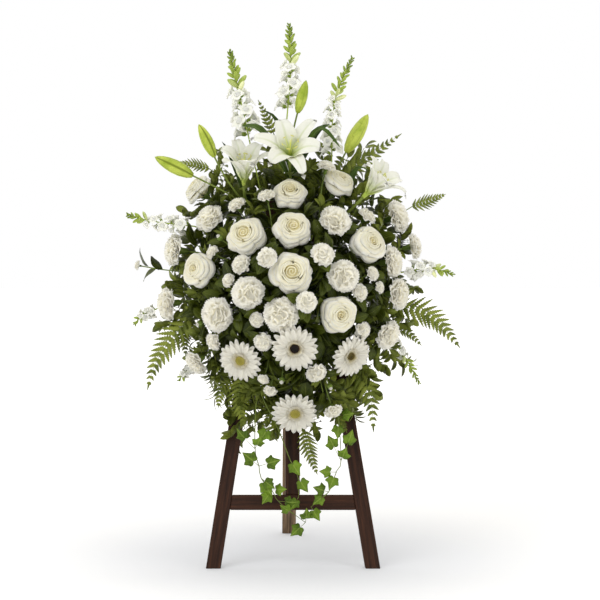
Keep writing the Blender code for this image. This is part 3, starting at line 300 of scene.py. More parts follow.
class Sheaf:
    """Gathers sheets, balls and rods in one mesh.

    Every point carries a mark for the materials: how far across its petal or leaf it lies, from
    -1 to 1, how far along, from 0 at the foot to 1 at the rim, and the petal's own random number.
    """

    def __init__(self, seed: int) -> None:
        """Starts empty, with random draws from a seed."""
        self.bm = bmesh.new()
        self.mark = self.bm.verts.layers.float_vector.new("mark")
        self.draw = random.Random(seed)

    def sheet(
        self, across: int, along: int, place: Sheet, tone: Place = (0.0, 1.0),
        closed: bool = False, marks: Optional[Callable[[float, float], Place]] = None,
    ) -> None:
        """One petal or leaf as a grid that a function puts in place.

        Args:
            across: faces from edge to edge.
            along: faces from foot to rim.
            place: gives the point for (u, t), u from -1 to 1 across and t from 0 to 1 along.
            tone: mark at the foot and at the rim.
            closed: joins the two long edges, for a tube or bell.
            marks: gives the mark across and along for (u, t) where those don't fit.
        """
        seed = self.draw.random()
        made = bmesh.ops.create_grid(self.bm, x_segments=across, y_segments=along, size=1.0)
        for vert in made["verts"]:
            u, t = vert.co.x, (vert.co.y + 1) / 2
            vert.co = place(u, t)
            vert[self.mark] = (*(marks(u, t) if marks else (u, mix(*tone, t))), seed)
        if closed:
            bmesh.ops.remove_doubles(self.bm, verts=made["verts"], dist=1e-6)

    def ball(self, stance: Stance, size: tuple[float, float], tone: float, detail: int = 1) -> None:
        """A small round body, size[0] wide and size[1] long along its stance's look."""
        made = bmesh.ops.create_icosphere(self.bm, subdivisions=detail, radius=1.0)
        seed = self.draw.random()
        for vert in made["verts"]:
            x, y, z = vert.co
            vert[self.mark] = (x, tone, seed)
            vert.co = stance.at(x * size[0], y * size[0], z * size[1])

    def rods(self, paths: Iterable[tuple[Sequence[Vector], float, float]], sides: int = 6) -> None:
        """Round stems that run along paths and may taper.

        Args:
            paths: points, radius at the first point, radius at the last one.
            sides: faces round each stem, 4 or more and even.
        """
        data = bpy.data.curves.new("rods", "CURVE")
        data.dimensions = "3D"
        data.bevel_depth = 1.0
        data.bevel_resolution = (sides - 4) // 2
        data.use_fill_caps = True
        for points, first, last in paths:
            spline = data.splines.new("POLY")
            spline.points.add(len(points) - 1)
            for i, (knot, point) in enumerate(zip(spline.points, points)):
                knot.co = (*point, 1.0)
                knot.radius = mix(first, last, i / (len(points) - 1))
        holder = link_object("rods", data)
        mesh = bpy.data.meshes.new_from_object(holder)
        bpy.data.objects.remove(holder)
        mark, before = (0.0, 0.5, self.draw.random()), len(self.bm.verts)
        self.bm.from_mesh(mesh)
        bpy.data.meshes.remove(mesh)
        self.bm.verts.ensure_lookup_table()
        bmesh.ops.remove_doubles(self.bm, verts=self.bm.verts[before:], dist=1e-7)
        self.bm.verts.ensure_lookup_table()
        for vert in self.bm.verts[before:]:
            vert[self.mark] = mark

    def piece(
        self, name: str, look: str, slot: str, nodes: Sequence[str], thick: float = 0.0,
        body: str = "frame",
    ) -> None:
        """Makes the finished object, puts it on its body and hides the solids it stands for.

        Args:
            name: name of the piece.
            look: its finish, a key of LOOK.
            slot: the record's material slot; not used.
            nodes: CAD nodes that it stands for.
            thick: thickness given to the sheets in metres, 0 for closed bodies.
            body: the CAD body that it rides on.
        """
        bmesh.ops.translate(self.bm, verts=self.bm.verts, vec=Plan.ORIGIN)
        if not thick:
            bmesh.ops.recalc_face_normals(self.bm, faces=self.bm.faces)
        mesh = bpy.data.meshes.new(name)
        self.bm.to_mesh(mesh)
        self.bm.free()
        mesh.shade_smooth()
        mesh.materials.append(LOOK[look])
        obj = link_object(name, mesh)
        if thick:
            wall = obj.modifiers.new("thickness", "SOLIDIFY")
            wall.thickness = thick
            wall.offset = 0.0
        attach(obj, body)
        if nodes:
            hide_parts(*nodes)
        LOG.info("%s: %d faces", name, len(mesh.polygons))


class Wiring:
    """A short way to add and link shader nodes in one node tree."""

    def __init__(self, tree: bpy.types.NodeTree) -> None:
        """Works on one material's or group's tree."""
        self.tree = tree

    def add(self, kind: str, settings: Optional[dict] = None, **links: object) -> bpy.types.Node:
        """Adds a node of a kind with these properties, and fills its inputs."""
        node = self.tree.nodes.new(kind)
        for key, value in (settings or {}).items():
            setattr(node, key, value)
        return self.fill(node, **links)

    def fill(self, node: bpy.types.Node, **links: object) -> bpy.types.Node:
        """Sets or links inputs, named with underscores for spaces or as in and a number."""
        for key, value in links.items():
            slot = int(key[2:]) if key[:2] == "in" and key[2:].isdigit() else key.replace("_", " ")
            if isinstance(value, bpy.types.NodeSocket):
                self.tree.links.new(value, node.inputs[slot])
            else:
                node.inputs[slot].default_value = value
        return node

    def math(self, operation: str, a: object, b: object = 0.0, c: object = 0.0) -> object:
        """One sum of the Math node."""
        return self.add("ShaderNodeMath", {"operation": operation}, in0=a, in1=b, in2=c).outputs[0]

    def times(self, a: object, b: object) -> object:
        """a * b."""
        return self.math("MULTIPLY", a, b)

    def less(self, a: object, b: object) -> object:
        """a - b."""
        return self.math("SUBTRACT", a, b)

    def fit(self, value: object, scale: object, shift: object) -> object:
        """value * scale + shift."""
        return self.math("MULTIPLY_ADD", value, scale, shift)

    def shade(self, tone: object, level: object) -> object:
        """A colour made darker or lighter."""
        grey = self.add("ShaderNodeCombineXYZ", in0=level, in1=level, in2=level).outputs[0]
        return self.blend(1.0, tone, grey, "MULTIPLY")

    def blend(self, share: object, a: object, b: object, kind: str = "MIX") -> object:
        """Mixes two colours."""
        settings = {"data_type": "RGBA", "blend_type": kind}
        return self.add("ShaderNodeMix", settings, in0=share, in6=a, in7=b).outputs[2]

    def step(self, value: object, start: object, end: object) -> object:
        """Smooth step from 0 at start to 1 at end."""
        settings = {"interpolation_type": "SMOOTHSTEP"}
        return self.add(
            "ShaderNodeMapRange", settings, Value=value, From_Min=start, From_Max=end
        ).outputs[0]

    def noise(
        self, where: object, scale: object, detail: float = 3.0, rough: float = 0.5
    ) -> object:
        """Noise from 0 to 1."""
        return self.add(
            "ShaderNodeTexNoise", Vector=where, Scale=scale, Detail=detail, Roughness=rough
        ).outputs[0]

    def mark(self) -> tuple[object, object, object]:
        """The mark on every point: across, along, and the petal's or leaf's own number."""
        read = self.add("ShaderNodeAttribute", {"attribute_name": "mark"})
        parts = self.add("ShaderNodeSeparateXYZ", in0=read.outputs["Vector"])
        return tuple(parts.outputs)

    def here(self) -> object:
        """Object coordinates."""
        return self.add("ShaderNodeTexCoord").outputs["Object"]


def new_material(name: str) -> tuple[bpy.types.Material, Wiring, bpy.types.Node]:
    """A new material, its wiring and its shader node."""
    material = bpy.data.materials.new(name)
    material.use_nodes = True
    return material, Wiring(material.node_tree), material.node_tree.nodes["Principled BSDF"]


def colour(red: float, green: float, blue: float) -> tuple[float, float, float, float]:
    """A linear colour from screen values 0 to 255."""
    return (*[(part / 255) ** 2.2 for part in (red, green, blue)], 1.0)


WHITE = (1.0, 1.0, 1.0, 1.0)


def group(name: str, **inputs: object) -> tuple[Wiring, dict, bpy.types.Node]:
    """Starts a shader node group with the outputs Color, Height and Rough.

    Args:
        name: the group's name.
        inputs: name, with underscores for spaces: default value as number, colour or vector.

    Returns:
        Its wiring, its inputs' sockets by name, and its output node.
    """
    tree = bpy.data.node_groups.new(name, "ShaderNodeTree")
    for key, value in inputs.items():
        size = len(value) if isinstance(value, tuple) else 1
        kind = {1: "NodeSocketFloat", 3: "NodeSocketVector", 4: "NodeSocketColor"}[size]
        made = tree.interface.new_socket(key.replace("_", " "), in_out="INPUT", socket_type=kind)
        made.default_value = value
    for label, kind in (("Color", "Color"), ("Height", "Float"), ("Rough", "Float")):
        tree.interface.new_socket(label, in_out="OUTPUT", socket_type=f"NodeSocket{kind}")
    wires = Wiring(tree)
    start = wires.add("NodeGroupInput")
    end = wires.add("NodeGroupOutput")
    return wires, {socket.name: socket for socket in start.outputs if socket.name}, end


def petal_surface() -> bpy.types.NodeTree:
    """Group for petals: a colour from foot to rim with soft patches, fine veins as height."""
    wires, given, end = group(
        "petal surface", Foot=WHITE, Body=WHITE, Rim=WHITE,
        Foot_Reach=0.4, Vein_Count=16.0, Patches=0.5, Midrib=0.0,
    )
    across, along, own = wires.mark()
    here = wires.here()
    cloud, fine = wires.noise(here, 55.0), wires.noise(here, 420.0, 2.0)
    edge = wires.fit(cloud, 0.35, wires.less(along, 0.17))
    tone = wires.blend(wires.step(edge, 0.0, given["Foot Reach"]), given["Foot"], given["Body"])
    tone = wires.blend(wires.step(edge, 0.72, 1.02), tone, given["Rim"])
    rib = wires.less(1.0, wires.step(wires.math("ABSOLUTE", across), 0.0, 0.24))
    rib = wires.times(rib, wires.times(given["Midrib"], wires.less(1.0, along)))
    tone = wires.blend(rib, tone, given["Foot"])
    patch = wires.times(wires.less(cloud, 0.5), given["Patches"])
    level = wires.fit(patch, 0.30, wires.fit(own, 0.08, 0.94))
    wander = wires.fit(fine, 1.6, wires.times(own, TURN[1]))
    turns = wires.fit(across, given["Vein Count"], wander)
    veins = wires.math("ABSOLUTE", wires.math("SINE", turns))
    height = wires.fit(veins, 0.5, wires.times(fine, 0.7))
    height = wires.less(height, wires.times(rib, 0.8))
    rough = wires.fit(cloud, 0.24, 0.42)
    wires.fill(end, Color=wires.shade(tone, level), Height=height, Rough=rough)
    return wires.tree


def leaf_surface() -> bpy.types.NodeTree:
    """Group for leaves: midrib and side veins, patches of lighter green, and their height."""
    wires, given, end = group(
        "leaf surface", Deep=WHITE, Fresh=WHITE, Vein=WHITE,
        Vein_Pairs=9.0, Slant=2.2, Vein_Strength=0.5,
    )
    across, along, own = wires.mark()
    here = wires.here()
    cloud, fine = wires.noise(here, 38.0, 4.0, 0.6), wires.noise(here, 650.0, 2.0)
    off = wires.math("ABSOLUTE", across)
    rib = wires.less(1.0, wires.step(off, 0.02, 0.09))
    phase = wires.fit(along, given["Vein Pairs"], wires.times(off, given["Slant"]))
    wave = wires.math("ABSOLUTE", wires.math("SINE", wires.times(phase, pi)))
    side = wires.less(1.0, wires.step(wave, 0.0, 0.30))
    veins = wires.math("MAXIMUM", rib, wires.times(side, 0.55))
    share = wires.step(wires.fit(own, 0.35, cloud), 0.35, 0.95)
    tone = wires.blend(share, given["Deep"], given["Fresh"])
    tone = wires.blend(wires.times(veins, given["Vein Strength"]), tone, given["Vein"])
    tone = wires.shade(tone, wires.fit(fine, 0.4, 0.8))
    height = wires.fit(fine, 0.25, wires.times(veins, -0.9))
    wires.fill(end, Color=tone, Height=height, Rough=wires.fit(cloud, 0.30, 0.22))
    return wires.tree


def wood_surface() -> bpy.types.NodeTree:
    """Group for stained wood: grain along Z of the given place, pores, streaks and wear."""
    wires, given, end = group(
        "wood surface", Dark=WHITE, Stain=WHITE, Streak=WHITE, Streaks=0.5, Place=(0.0, 0.0, 0.0)
    )
    here, settings = given["Place"], {"operation": "MULTIPLY"}
    slow, thin = (
        wires.add("ShaderNodeVectorMath", settings, in0=here, in1=(1.0, 1.0, along)).outputs[0]
        for along in (0.045, 0.02)
    )
    band = wires.noise(slow, 130.0, 4.0, 0.6)
    pores = wires.noise(thin, 1500.0, 2.0, 0.7)
    broad = wires.noise(here, 9.0, 2.0)
    grain = wires.step(wires.fit(pores, 0.5, band), 0.45, 1.05)
    tone = wires.blend(grain, given["Dark"], given["Stain"])
    worn = wires.times(wires.step(band, 0.60, 0.80), given["Streaks"])
    tone = wires.blend(wires.times(worn, broad), tone, given["Streak"])
    height = wires.fit(band, 0.6, wires.times(pores, 0.6))
    wires.fill(end, Color=tone, Height=height, Rough=wires.fit(grain, 0.22, 0.40))
    return wires.tree


def speckle_surface() -> bpy.types.NodeTree:
    """Group for foam, moulded plastic and metal: two tones, grain of a chosen size and dust."""
    wires, given, end = group(
        "speckled surface", Dark=WHITE, Light=WHITE,
        Grain=900.0, Dust=0.2, Rough_From=0.4, Rough_To=0.7,
    )
    here = wires.here()
    cells, cloud = wires.noise(here, given["Grain"], 4.0), wires.noise(here, 24.0)
    share = wires.step(wires.fit(cells, 0.8, cloud), 0.5, 1.2)
    tone = wires.blend(share, given["Dark"], given["Light"])
    dust = wires.times(wires.step(cloud, 0.5, 0.8), given["Dust"])
    tone = wires.blend(dust, tone, colour(150, 150, 140))
    ends = {"in2": given["Rough From"], "in3": given["Rough To"]}
    rough = wires.add("ShaderNodeMix", {"data_type": "FLOAT"}, in0=share, **ends).outputs[0]
    wires.fill(end, Color=tone, Height=cells, Rough=rough)
    return wires.tree


SURFACES = {
    "petal": petal_surface(),
    "leaf": leaf_surface(),
    "wood": wood_surface(),
    "speckle": speckle_surface(),
}


@dataclass(frozen=True)
class Finish:
    """A finish: which group it uses, the group's values, and the shader's own plain values."""

    name: str
    surface: str
    values: dict
    depth: float
    shader: dict = field(default_factory=dict)
    turn: Optional[tuple[float, float, float]] = None

    def make(self) -> bpy.types.Material:
        """Builds the material."""
        material, wires, shader = new_material(self.name)
        settings = {"node_tree": SURFACES[self.surface]}
        made = wires.add("ShaderNodeGroup", settings, **self.values)
        if self.turn is not None:
            here = wires.add("ShaderNodeMapping", Vector=wires.here(), Rotation=self.turn)
            wires.fill(made, Place=here.outputs[0])
        relief = wires.add("ShaderNodeBump", Distance=self.depth, Height=made.outputs["Height"])
        wires.fill(shader, Base_Color=made.outputs["Color"], Roughness=made.outputs["Rough"])
        wires.fill(shader, Normal=relief.outputs[0], **self.shader)
        shown = [value for value in self.values.values() if isinstance(value, tuple)]
        material.diffuse_color = shown[len(shown) // 2]
        return material


@dataclass(frozen=True)
class Family:
    """What the finishes of one kind share: group, relief, what its colours are, plain values."""

    surface: str
    depth: float
    roles: tuple
    shader: dict = field(default_factory=dict)

    def finish(self, name: str, *tones: tuple, **values: float) -> Finish:
        """A finish of this kind from screen colours in the order of the roles."""
        named = dict(zip(self.roles, (colour(*tone) for tone in tones)))
        return Finish(name, self.surface, {**named, **values}, self.depth, self.shader)


SOFT = {
    "Subsurface Weight": 0.5, "Subsurface Scale": 0.006, "Subsurface Radius": (1.0, 0.95, 0.85),
    "Specular IOR Level": 0.25,
}
PETAL = Family("petal", 0.0004, ("Foot", "Body", "Rim"), SOFT)
GLOSS = {"Coat Weight": 0.03, "Coat Roughness": 0.3, "Specular IOR Level": 0.14}
LEAF = Family("leaf", 0.0005, ("Deep", "Fresh", "Vein"), GLOSS)
GREY = ("Dark", "Light")
FOAM, TRAY, STRAP = (Family("speckle", depth, GREY) for depth in (0.0012, 0.0002, 0.0004))
STEEL = Family("speckle", 0.00015, GREY, {"Metallic": 0.9})

# fmt: off
FINISHES = {
    # The rose's foot colour reaches the rims: partly its own cream-yellow base, partly painted
    # shade that makes each petal darker and yellower towards where it sinks under the next whorl.
    "rose": PETAL.finish(
        "rose_petals", (252, 240, 182), (254, 248, 220), (254, 251, 238), Foot_Reach=1.00),
    "gerbera": PETAL.finish(
        "gerbera_rays", (196, 178, 118), (238, 233, 214), (240, 236, 222), Foot_Reach=0.44),
    "carnation": PETAL.finish(
        "carnation_petals", (236, 228, 184), (244, 240, 224), (246, 244, 234), Foot_Reach=0.75),
    "floret": PETAL.finish(
        "snapdragon_florets", (206, 218, 150), (248, 248, 236), (253, 251, 242), Foot_Reach=0.55),
    "lily": PETAL.finish(
        "lily_petals", (178, 196, 96), (232, 232, 216), (236, 236, 224),
        Foot_Reach=0.5, Midrib=0.8),
    "dark_disc": PETAL.finish(
        "dark_disc", (16, 13, 12), (30, 22, 18), (112, 84, 56), Foot_Reach=0.6),
    "green_disc": PETAL.finish(
        "green_disc", (138, 128, 44), (188, 176, 88), (230, 218, 172), Foot_Reach=0.6),
    "olive_disc": PETAL.finish(
        "olive_disc", (52, 44, 18), (112, 98, 44), (196, 178, 120), Foot_Reach=0.7),
    "pollen": PETAL.finish(
        "anther", (150, 146, 60), (206, 202, 120), (226, 220, 160), Foot_Reach=0.5),
    "pistil": PETAL.finish(
        "pistil", (140, 170, 60), (204, 212, 110), (214, 214, 150), Foot_Reach=0.5),
    "spike_bud": PETAL.finish(
        "spike_bud", (94, 116, 34), (156, 174, 78), (226, 230, 180), Foot_Reach=0.5),
    "calyx": LEAF.finish("calyx", (58, 76, 30), (104, 124, 54), (134, 150, 82)),
    "bud": LEAF.finish(
        "lily_bud", (132, 154, 46), (186, 198, 88), (106, 118, 36),
        Vein_Pairs=0.0, Slant=3.0, Vein_Strength=0.9),
    "lily_leaf": LEAF.finish(
        "lily_leaf", (38, 54, 18), (70, 92, 34), (98, 118, 56), Vein_Pairs=0.0, Slant=5.0),
    "fern": LEAF.finish("fern_leaf", (74, 86, 28), (130, 140, 56), (152, 160, 84), Vein_Pairs=3.0),
    "ivy": LEAF.finish(
        "ivy_leaf", (64, 86, 22), (110, 138, 43), (148, 166, 76), Slant=-2.0, Vein_Pairs=2.0),
    "broad": LEAF.finish("broad_leaf", (36, 44, 14), (76, 86, 28), (106, 114, 54)),
    "small": LEAF.finish("small_leaf", (66, 76, 26), (124, 134, 56), (148, 156, 84)),
    "stem": LEAF.finish("flower_stem", (60, 74, 26), (100, 116, 46), (128, 142, 70)),
    "foam": FOAM.finish(
        "wet_foam_porous", (14, 44, 24), (40, 86, 48), Rough_From=0.8, Rough_To=0.95),
    "tray": TRAY.finish("moulded_tray", (18, 48, 28), (26, 60, 34), Grain=2600.0, Dust=0.35),
    "strap": STRAP.finish("woven_strap", (14, 40, 26), (30, 66, 40), Grain=1700.0, Dust=0.2),
    "steel": STEEL.finish(
        "zinc_steel_worn", (120, 120, 122), (176, 176, 178),
        Grain=1400.0, Dust=0.25, Rough_From=0.28, Rough_To=0.55),
}
# fmt: on
LOOK = {key: finish.make() for key, finish in FINISHES.items()}


def turned(
    sheaf: Sheaf, stance: Stance, profile: Sequence[Place], size: float, tone: float,
    sides: int = 12,
) -> None:
    """A round body through a profile of (radius, height), in parts of size, from pole to pole."""

    def place(u: float, t: float) -> Vector:
        """A point of the turned skin."""
        r, z = on_profile(profile, t)
        return stance.polar(pi * (u + 1), r * size, z * size)

    sheaf.sheet(sides, len(profile) - 1, place, (tone, tone), closed=True)


@dataclass
class Plant:
    """A node of the arrangement, and how its finer pieces are started and handed in."""

    SLOT = "broad_leaf"
    name: str

    def sheaves(self, count: int, first: int = 0) -> list[Sheaf]:
        """Empty sheaves for its pieces, each with random draws of its own."""
        return [Sheaf(hash_name(self.name) + first + k) for k in range(count)]

    def hand_in(self, sheaf: Sheaf, part: str, look: str, thick: float = 0.0) -> None:
        """Hands in one piece that stands for the node, see Sheaf.piece."""
        sheaf.piece(f"{self.name}_{part}", look, self.SLOT, [self.name], thick)


@dataclass(frozen=True)
class Whorl:
    """A ring of a rose's petals, in parts of the head's radius.

    count petals turn outwards at radius lip and height rise, reach out by spread and sink by fall;
    each spans this half angle and draws out to a point in its middle.
    """

    count: int
    lip: float
    rise: float
    span: float
    spread: float
    fall: float
    point: float
    tone: float = 1.0


ROSE_WHORLS = (
    *(Whorl(1, 0.04 + 0.048 * k, 0.43 - 0.005 * k, 1.7, 0.03, 0.01, 0.0, 0.80) for k in range(6)),
    Whorl(3, 0.34, 0.43, 1.15, 0.06, 0.03, 0.03, 0.85),
    Whorl(3, 0.43, 0.42, 1.10, 0.10, 0.05, 0.04, 0.90),
    Whorl(4, 0.50, 0.35, 1.00, 0.17, 0.07, 0.08, 0.95),
    Whorl(5, 0.56, 0.23, 0.86, 0.26, 0.14, 0.10),
    Whorl(5, 0.63, 0.09, 0.84, 0.31, 0.24, 0.11),
)
CUP_WHORLS = (
    *(Whorl(1, 0.05 + 0.042 * k, 0.52 - 0.006 * k, 1.7, 0.03, 0.01, 0.0, 0.80) for k in range(5)),
    Whorl(3, 0.26, 0.55, 1.30, 0.08, 0.02, 0.02, 0.85),
    Whorl(3, 0.36, 0.53, 1.25, 0.13, 0.04, 0.03, 0.90),
    Whorl(3, 0.47, 0.48, 1.25, 0.22, 0.08, 0.06, 0.95),
    Whorl(3, 0.58, 0.38, 1.25, 0.32, 0.16, 0.10),
    Whorl(4, 0.68, 0.14, 1.05, 0.30, 0.28, 0.10),
)
CUPPED_ROSES = (
    "rose_upper_left", "rose_upper_right", "rose_left", "rose_right", "rose_lower_right"
)


@dataclass
class Rose(Plant):
    """A garden rose: a tight spiral heart in whorls of broad rolled petals, on its own stem."""

    SLOT = "rose_petal"
    bloom: Bloom
    whorls: tuple = ROSE_WHORLS
    core: tuple = ((0, -0.5), (0.24, -0.34), (0.45, -0.04), (0.44, 0.13), (0.22, 0.28), (0, 0.31))
    stem: float = 0.0030

    def petal(self, stance: Stance, whorl: Whorl, turn: float, draw: random.Random) -> Sheet:
        """The surface of one petal.

        Args:
            stance: the head's.
            whorl: the ring that it stands in.
            turn: its turn round the head.
            draw: random numbers for its size and wave.

        Returns:
            The surface.
        """
        size = self.bloom.radius * MM
        lip = whorl.lip * draw.uniform(0.96, 1.04)
        rise = whorl.rise + draw.uniform(-0.02, 0.02)
        foot = 0.05 + 0.10 * whorl.lip
        spread = whorl.spread * draw.uniform(0.84, 1.12)
        fall = whorl.fall * draw.uniform(0.7, 1.3)
        wave, skew = draw.uniform(*TURN), draw.uniform(-0.3, 0.3)
        lean = 0.020 + 0.020 * whorl.lip

        def place(u: float, t: float) -> Vector:
            """A point of the petal."""
            up = min(1.0, t / 0.5)
            out = max(0.0, t - 0.5) / 0.5
            edge = 1 - 0.55 * abs(u) ** 2.2
            r = foot + (lip - foot) * sin(up * pi / 2)
            z = -0.5 + (rise + 0.5) * (1 - cos(up * pi / 2)) ** 0.85
            tip = whorl.point * max(0.0, 1 - abs(u - skew) * 1.7) ** 1.3 * out**2
            tip += 0.07 * spread * out**2 * sin(6.5 * u + wave)
            r += spread * sin(out * edge * 1.45) + tip + lean * u
            z += 0.10 * spread * sin(pi * out) - fall * (out * edge) ** 2.0
            z += spread * out * (0.10 * sin(3.4 * u + wave) - 0.40 * abs(u) ** 2.5)
            z -= 0.22 * spread * ramp(out, 0.72, 1.0) * (1 - 0.5 * abs(u))
            angle = turn + u * whorl.span * min(1.0, 0.52 + 0.90 * t) * (1 - 0.10 * out)
            return stance.polar(angle, r * size, z * size)

        return place

    def build(self) -> None:
        """Builds petals and greenery and hands them in as two pieces."""
        stance, size = self.bloom.stance(), self.bloom.radius * MM
        sheaf, green = self.sheaves(2)
        start = sheaf.draw.uniform(0, tau)
        for number, whorl in enumerate(self.whorls):
            for k in range(whorl.count):
                turn = start + number * GOLDEN + k * tau / whorl.count
                turn += sheaf.draw.uniform(-0.18, 0.18)
                surface = self.petal(stance, whorl, turn, sheaf.draw)
                sheaf.sheet(10, 10, surface, (0.0, whorl.tone))
        turned(sheaf, stance, self.core, size, 0.15, 16)
        self.hand_in(sheaf, "petals", "rose", 0.0005)
        hip = ((0, -0.98), (0.08, -0.92), (0.17, -0.78), (0.20, -0.66), (0.34, -0.50), (0, -0.42))
        turned(green, stance, hip, size, 0.5)
        for k in range(5):
            self.sepal(green, stance, k * tau / 5)
        path = stem_path(self.bloom.entry, stance.at(0, 0, -0.95 * size), stance.look)
        green.rods([(path, self.stem, self.stem)], 8)
        self.hand_in(green, "stem", "calyx")

    def sepal(self, green: Sheaf, stance: Stance, turn: float) -> None:
        """A pointed sepal that hangs back under the petals, closed on both faces."""
        size = self.bloom.radius * MM
        for face in (0.0, 0.012):

            def place(u: float, t: float, face: float = face) -> Vector:
                """A point of the sepal."""
                r = 0.20 + 0.42 * t
                z = -0.66 + 0.34 * t * t - 0.05 * (1 - u * u) - face
                angle = turn + u * 0.42 * (1 - t) ** 0.8
                return stance.polar(angle, r * size, z * size)

            green.sheet(4, 5, place, (0.4, 0.9))


@dataclass
class Carnations(Plant):
    """Carnations on one forked stem; small heads are spray carnations, the smallest buds."""

    SLOT = "carnation_petal"
    entry: tuple
    fork: float
    blooms: list
    trunk: float
    twig: float
    bud_size: float = 12
    small_size: float = 31

    def fan(self, sheaf: Sheaf, stance: Stance, size: float, rank: float, turn: float) -> None:
        """One fringed petal.

        Args:
            sheaf: where it goes.
            stance: the head's.
            size: the head's radius.
            rank: 0 in the middle of the head, 1 at its rim.
            turn: its turn round the head.
        """
        draw, small = sheaf.draw, size < self.small_size * MM
        swing = acos(1 - 1.12 * rank) * draw.uniform(0.93, 1.05)
        reach = draw.uniform(0.93, 1.03)
        foot = stance.polar(turn, 0.04 * size, -0.38 * size)
        tip = stance.polar(turn, sin(swing) * size * reach, cos(swing) * 0.52 * size)
        ahead = tip - foot
        around = stance.polar(turn + QUARTER, 1, 0) - stance.place
        twist = Matrix.Rotation(draw.uniform(-1.1, 1.1) * (1.15 - rank), 3, ahead.normalized())
        side = twist @ around
        normal = ahead.cross(side).normalized()
        half = size * (0.48 if small else 0.42) * draw.uniform(0.9, 1.15)
        wave, waves = draw.uniform(*TURN), draw.uniform(3.6, 5.2)
        ruffle = size * (0.12 if small else 0.085)
        count = 10 if small else 12

        def place(u: float, t: float) -> Vector:
            """A point of the petal."""
            tooth = 0.07 if round((u + 1) * count / 2) % 2 else 0.0
            length = t * (1 - 0.20 * u * u + tooth * ramp(t, 0.7, 1.0))
            bow = ruffle * (t**2 * sin(waves * u + wave) + 0.5 * sin(3.0 * t))
            curl = 0.10 * size * rank * t**3
            point = foot + ahead * length + side * (u * half * sin(t * 1.45))
            return point + normal * bow - stance.look * curl

        sheaf.sheet(count, 3 if small else 4, place, (0.0, mix(0.55, 1.0, rank)))

    def head(self, sheaf: Sheaf, green: Sheaf, bloom: Bloom) -> None:
        """A head of petals in its green calyx, or a closed bud."""
        stance, size = bloom.stance(), bloom.radius * MM
        if bloom.radius < self.bud_size:
            cup = ((0, -0.95), (0.30, -0.85), (0.62, -0.40), (0.72, 0.10), (0.50, 0.66), (0, 0.70))
            turned(green, stance, cup, size, 0.5)
            for k in range(5):
                self.closed_petal(sheaf, stance, size, k * tau / 5)
            return
        count = 22 if bloom.radius < self.small_size else 42
        for k in range(count):
            turn = k * GOLDEN + sheaf.draw.uniform(-0.2, 0.2)
            self.fan(sheaf, stance, size, (k + 0.5) / count, turn)
        sheaf.ball(stance, (0.62 * size, 0.30 * size), 0.7, 2)
        cup = ((0, -1.0), (0.10, -0.95), (0.19, -0.80), (0.21, -0.52), (0.27, -0.34), (0, -0.28))
        turned(green, stance, cup, size, 0.5)

    def closed_petal(self, sheaf: Sheaf, stance: Stance, size: float, turn: float) -> None:
        """A furled petal that shows at the top of a bud."""

        def place(u: float, t: float) -> Vector:
            """A point of the furled petal."""
            r = 0.46 * cos(t * 1.45) + 0.04 * u
            z = 0.45 + 0.75 * sin(t * 1.3)
            return stance.polar(turn + u * 0.9 + t * 0.8, r * size, z * size)

        sheaf.sheet(4, 4, place, (0.3, 1.0))

    def build(self) -> None:
        """Builds the heads and the branching stem as two pieces."""
        sheaf, green = self.sheaves(2)
        split, out, rods = forked_stem(self.entry, self.fork, self.trunk)
        for bloom in self.blooms:
            self.head(sheaf, green, bloom)
            stance, size = bloom.stance(), bloom.radius * MM
            path = bend(split, out, stance.at(0, 0, -0.9 * size), stance.look, 10, bloom.reach)
            rods.append((path, self.twig, self.twig))
        green.rods(rods, 8)
        self.hand_in(sheaf, "petals", "carnation", 0.0004)
        self.hand_in(green, "stems", "calyx")


class Disc(Enum):
    """The centre of a gerbera: finish and radius in parts of the head."""

    BLACK = ("dark_disc", 0.21)
    GREEN = ("green_disc", 0.25)
    OLIVE = ("olive_disc", 0.20)


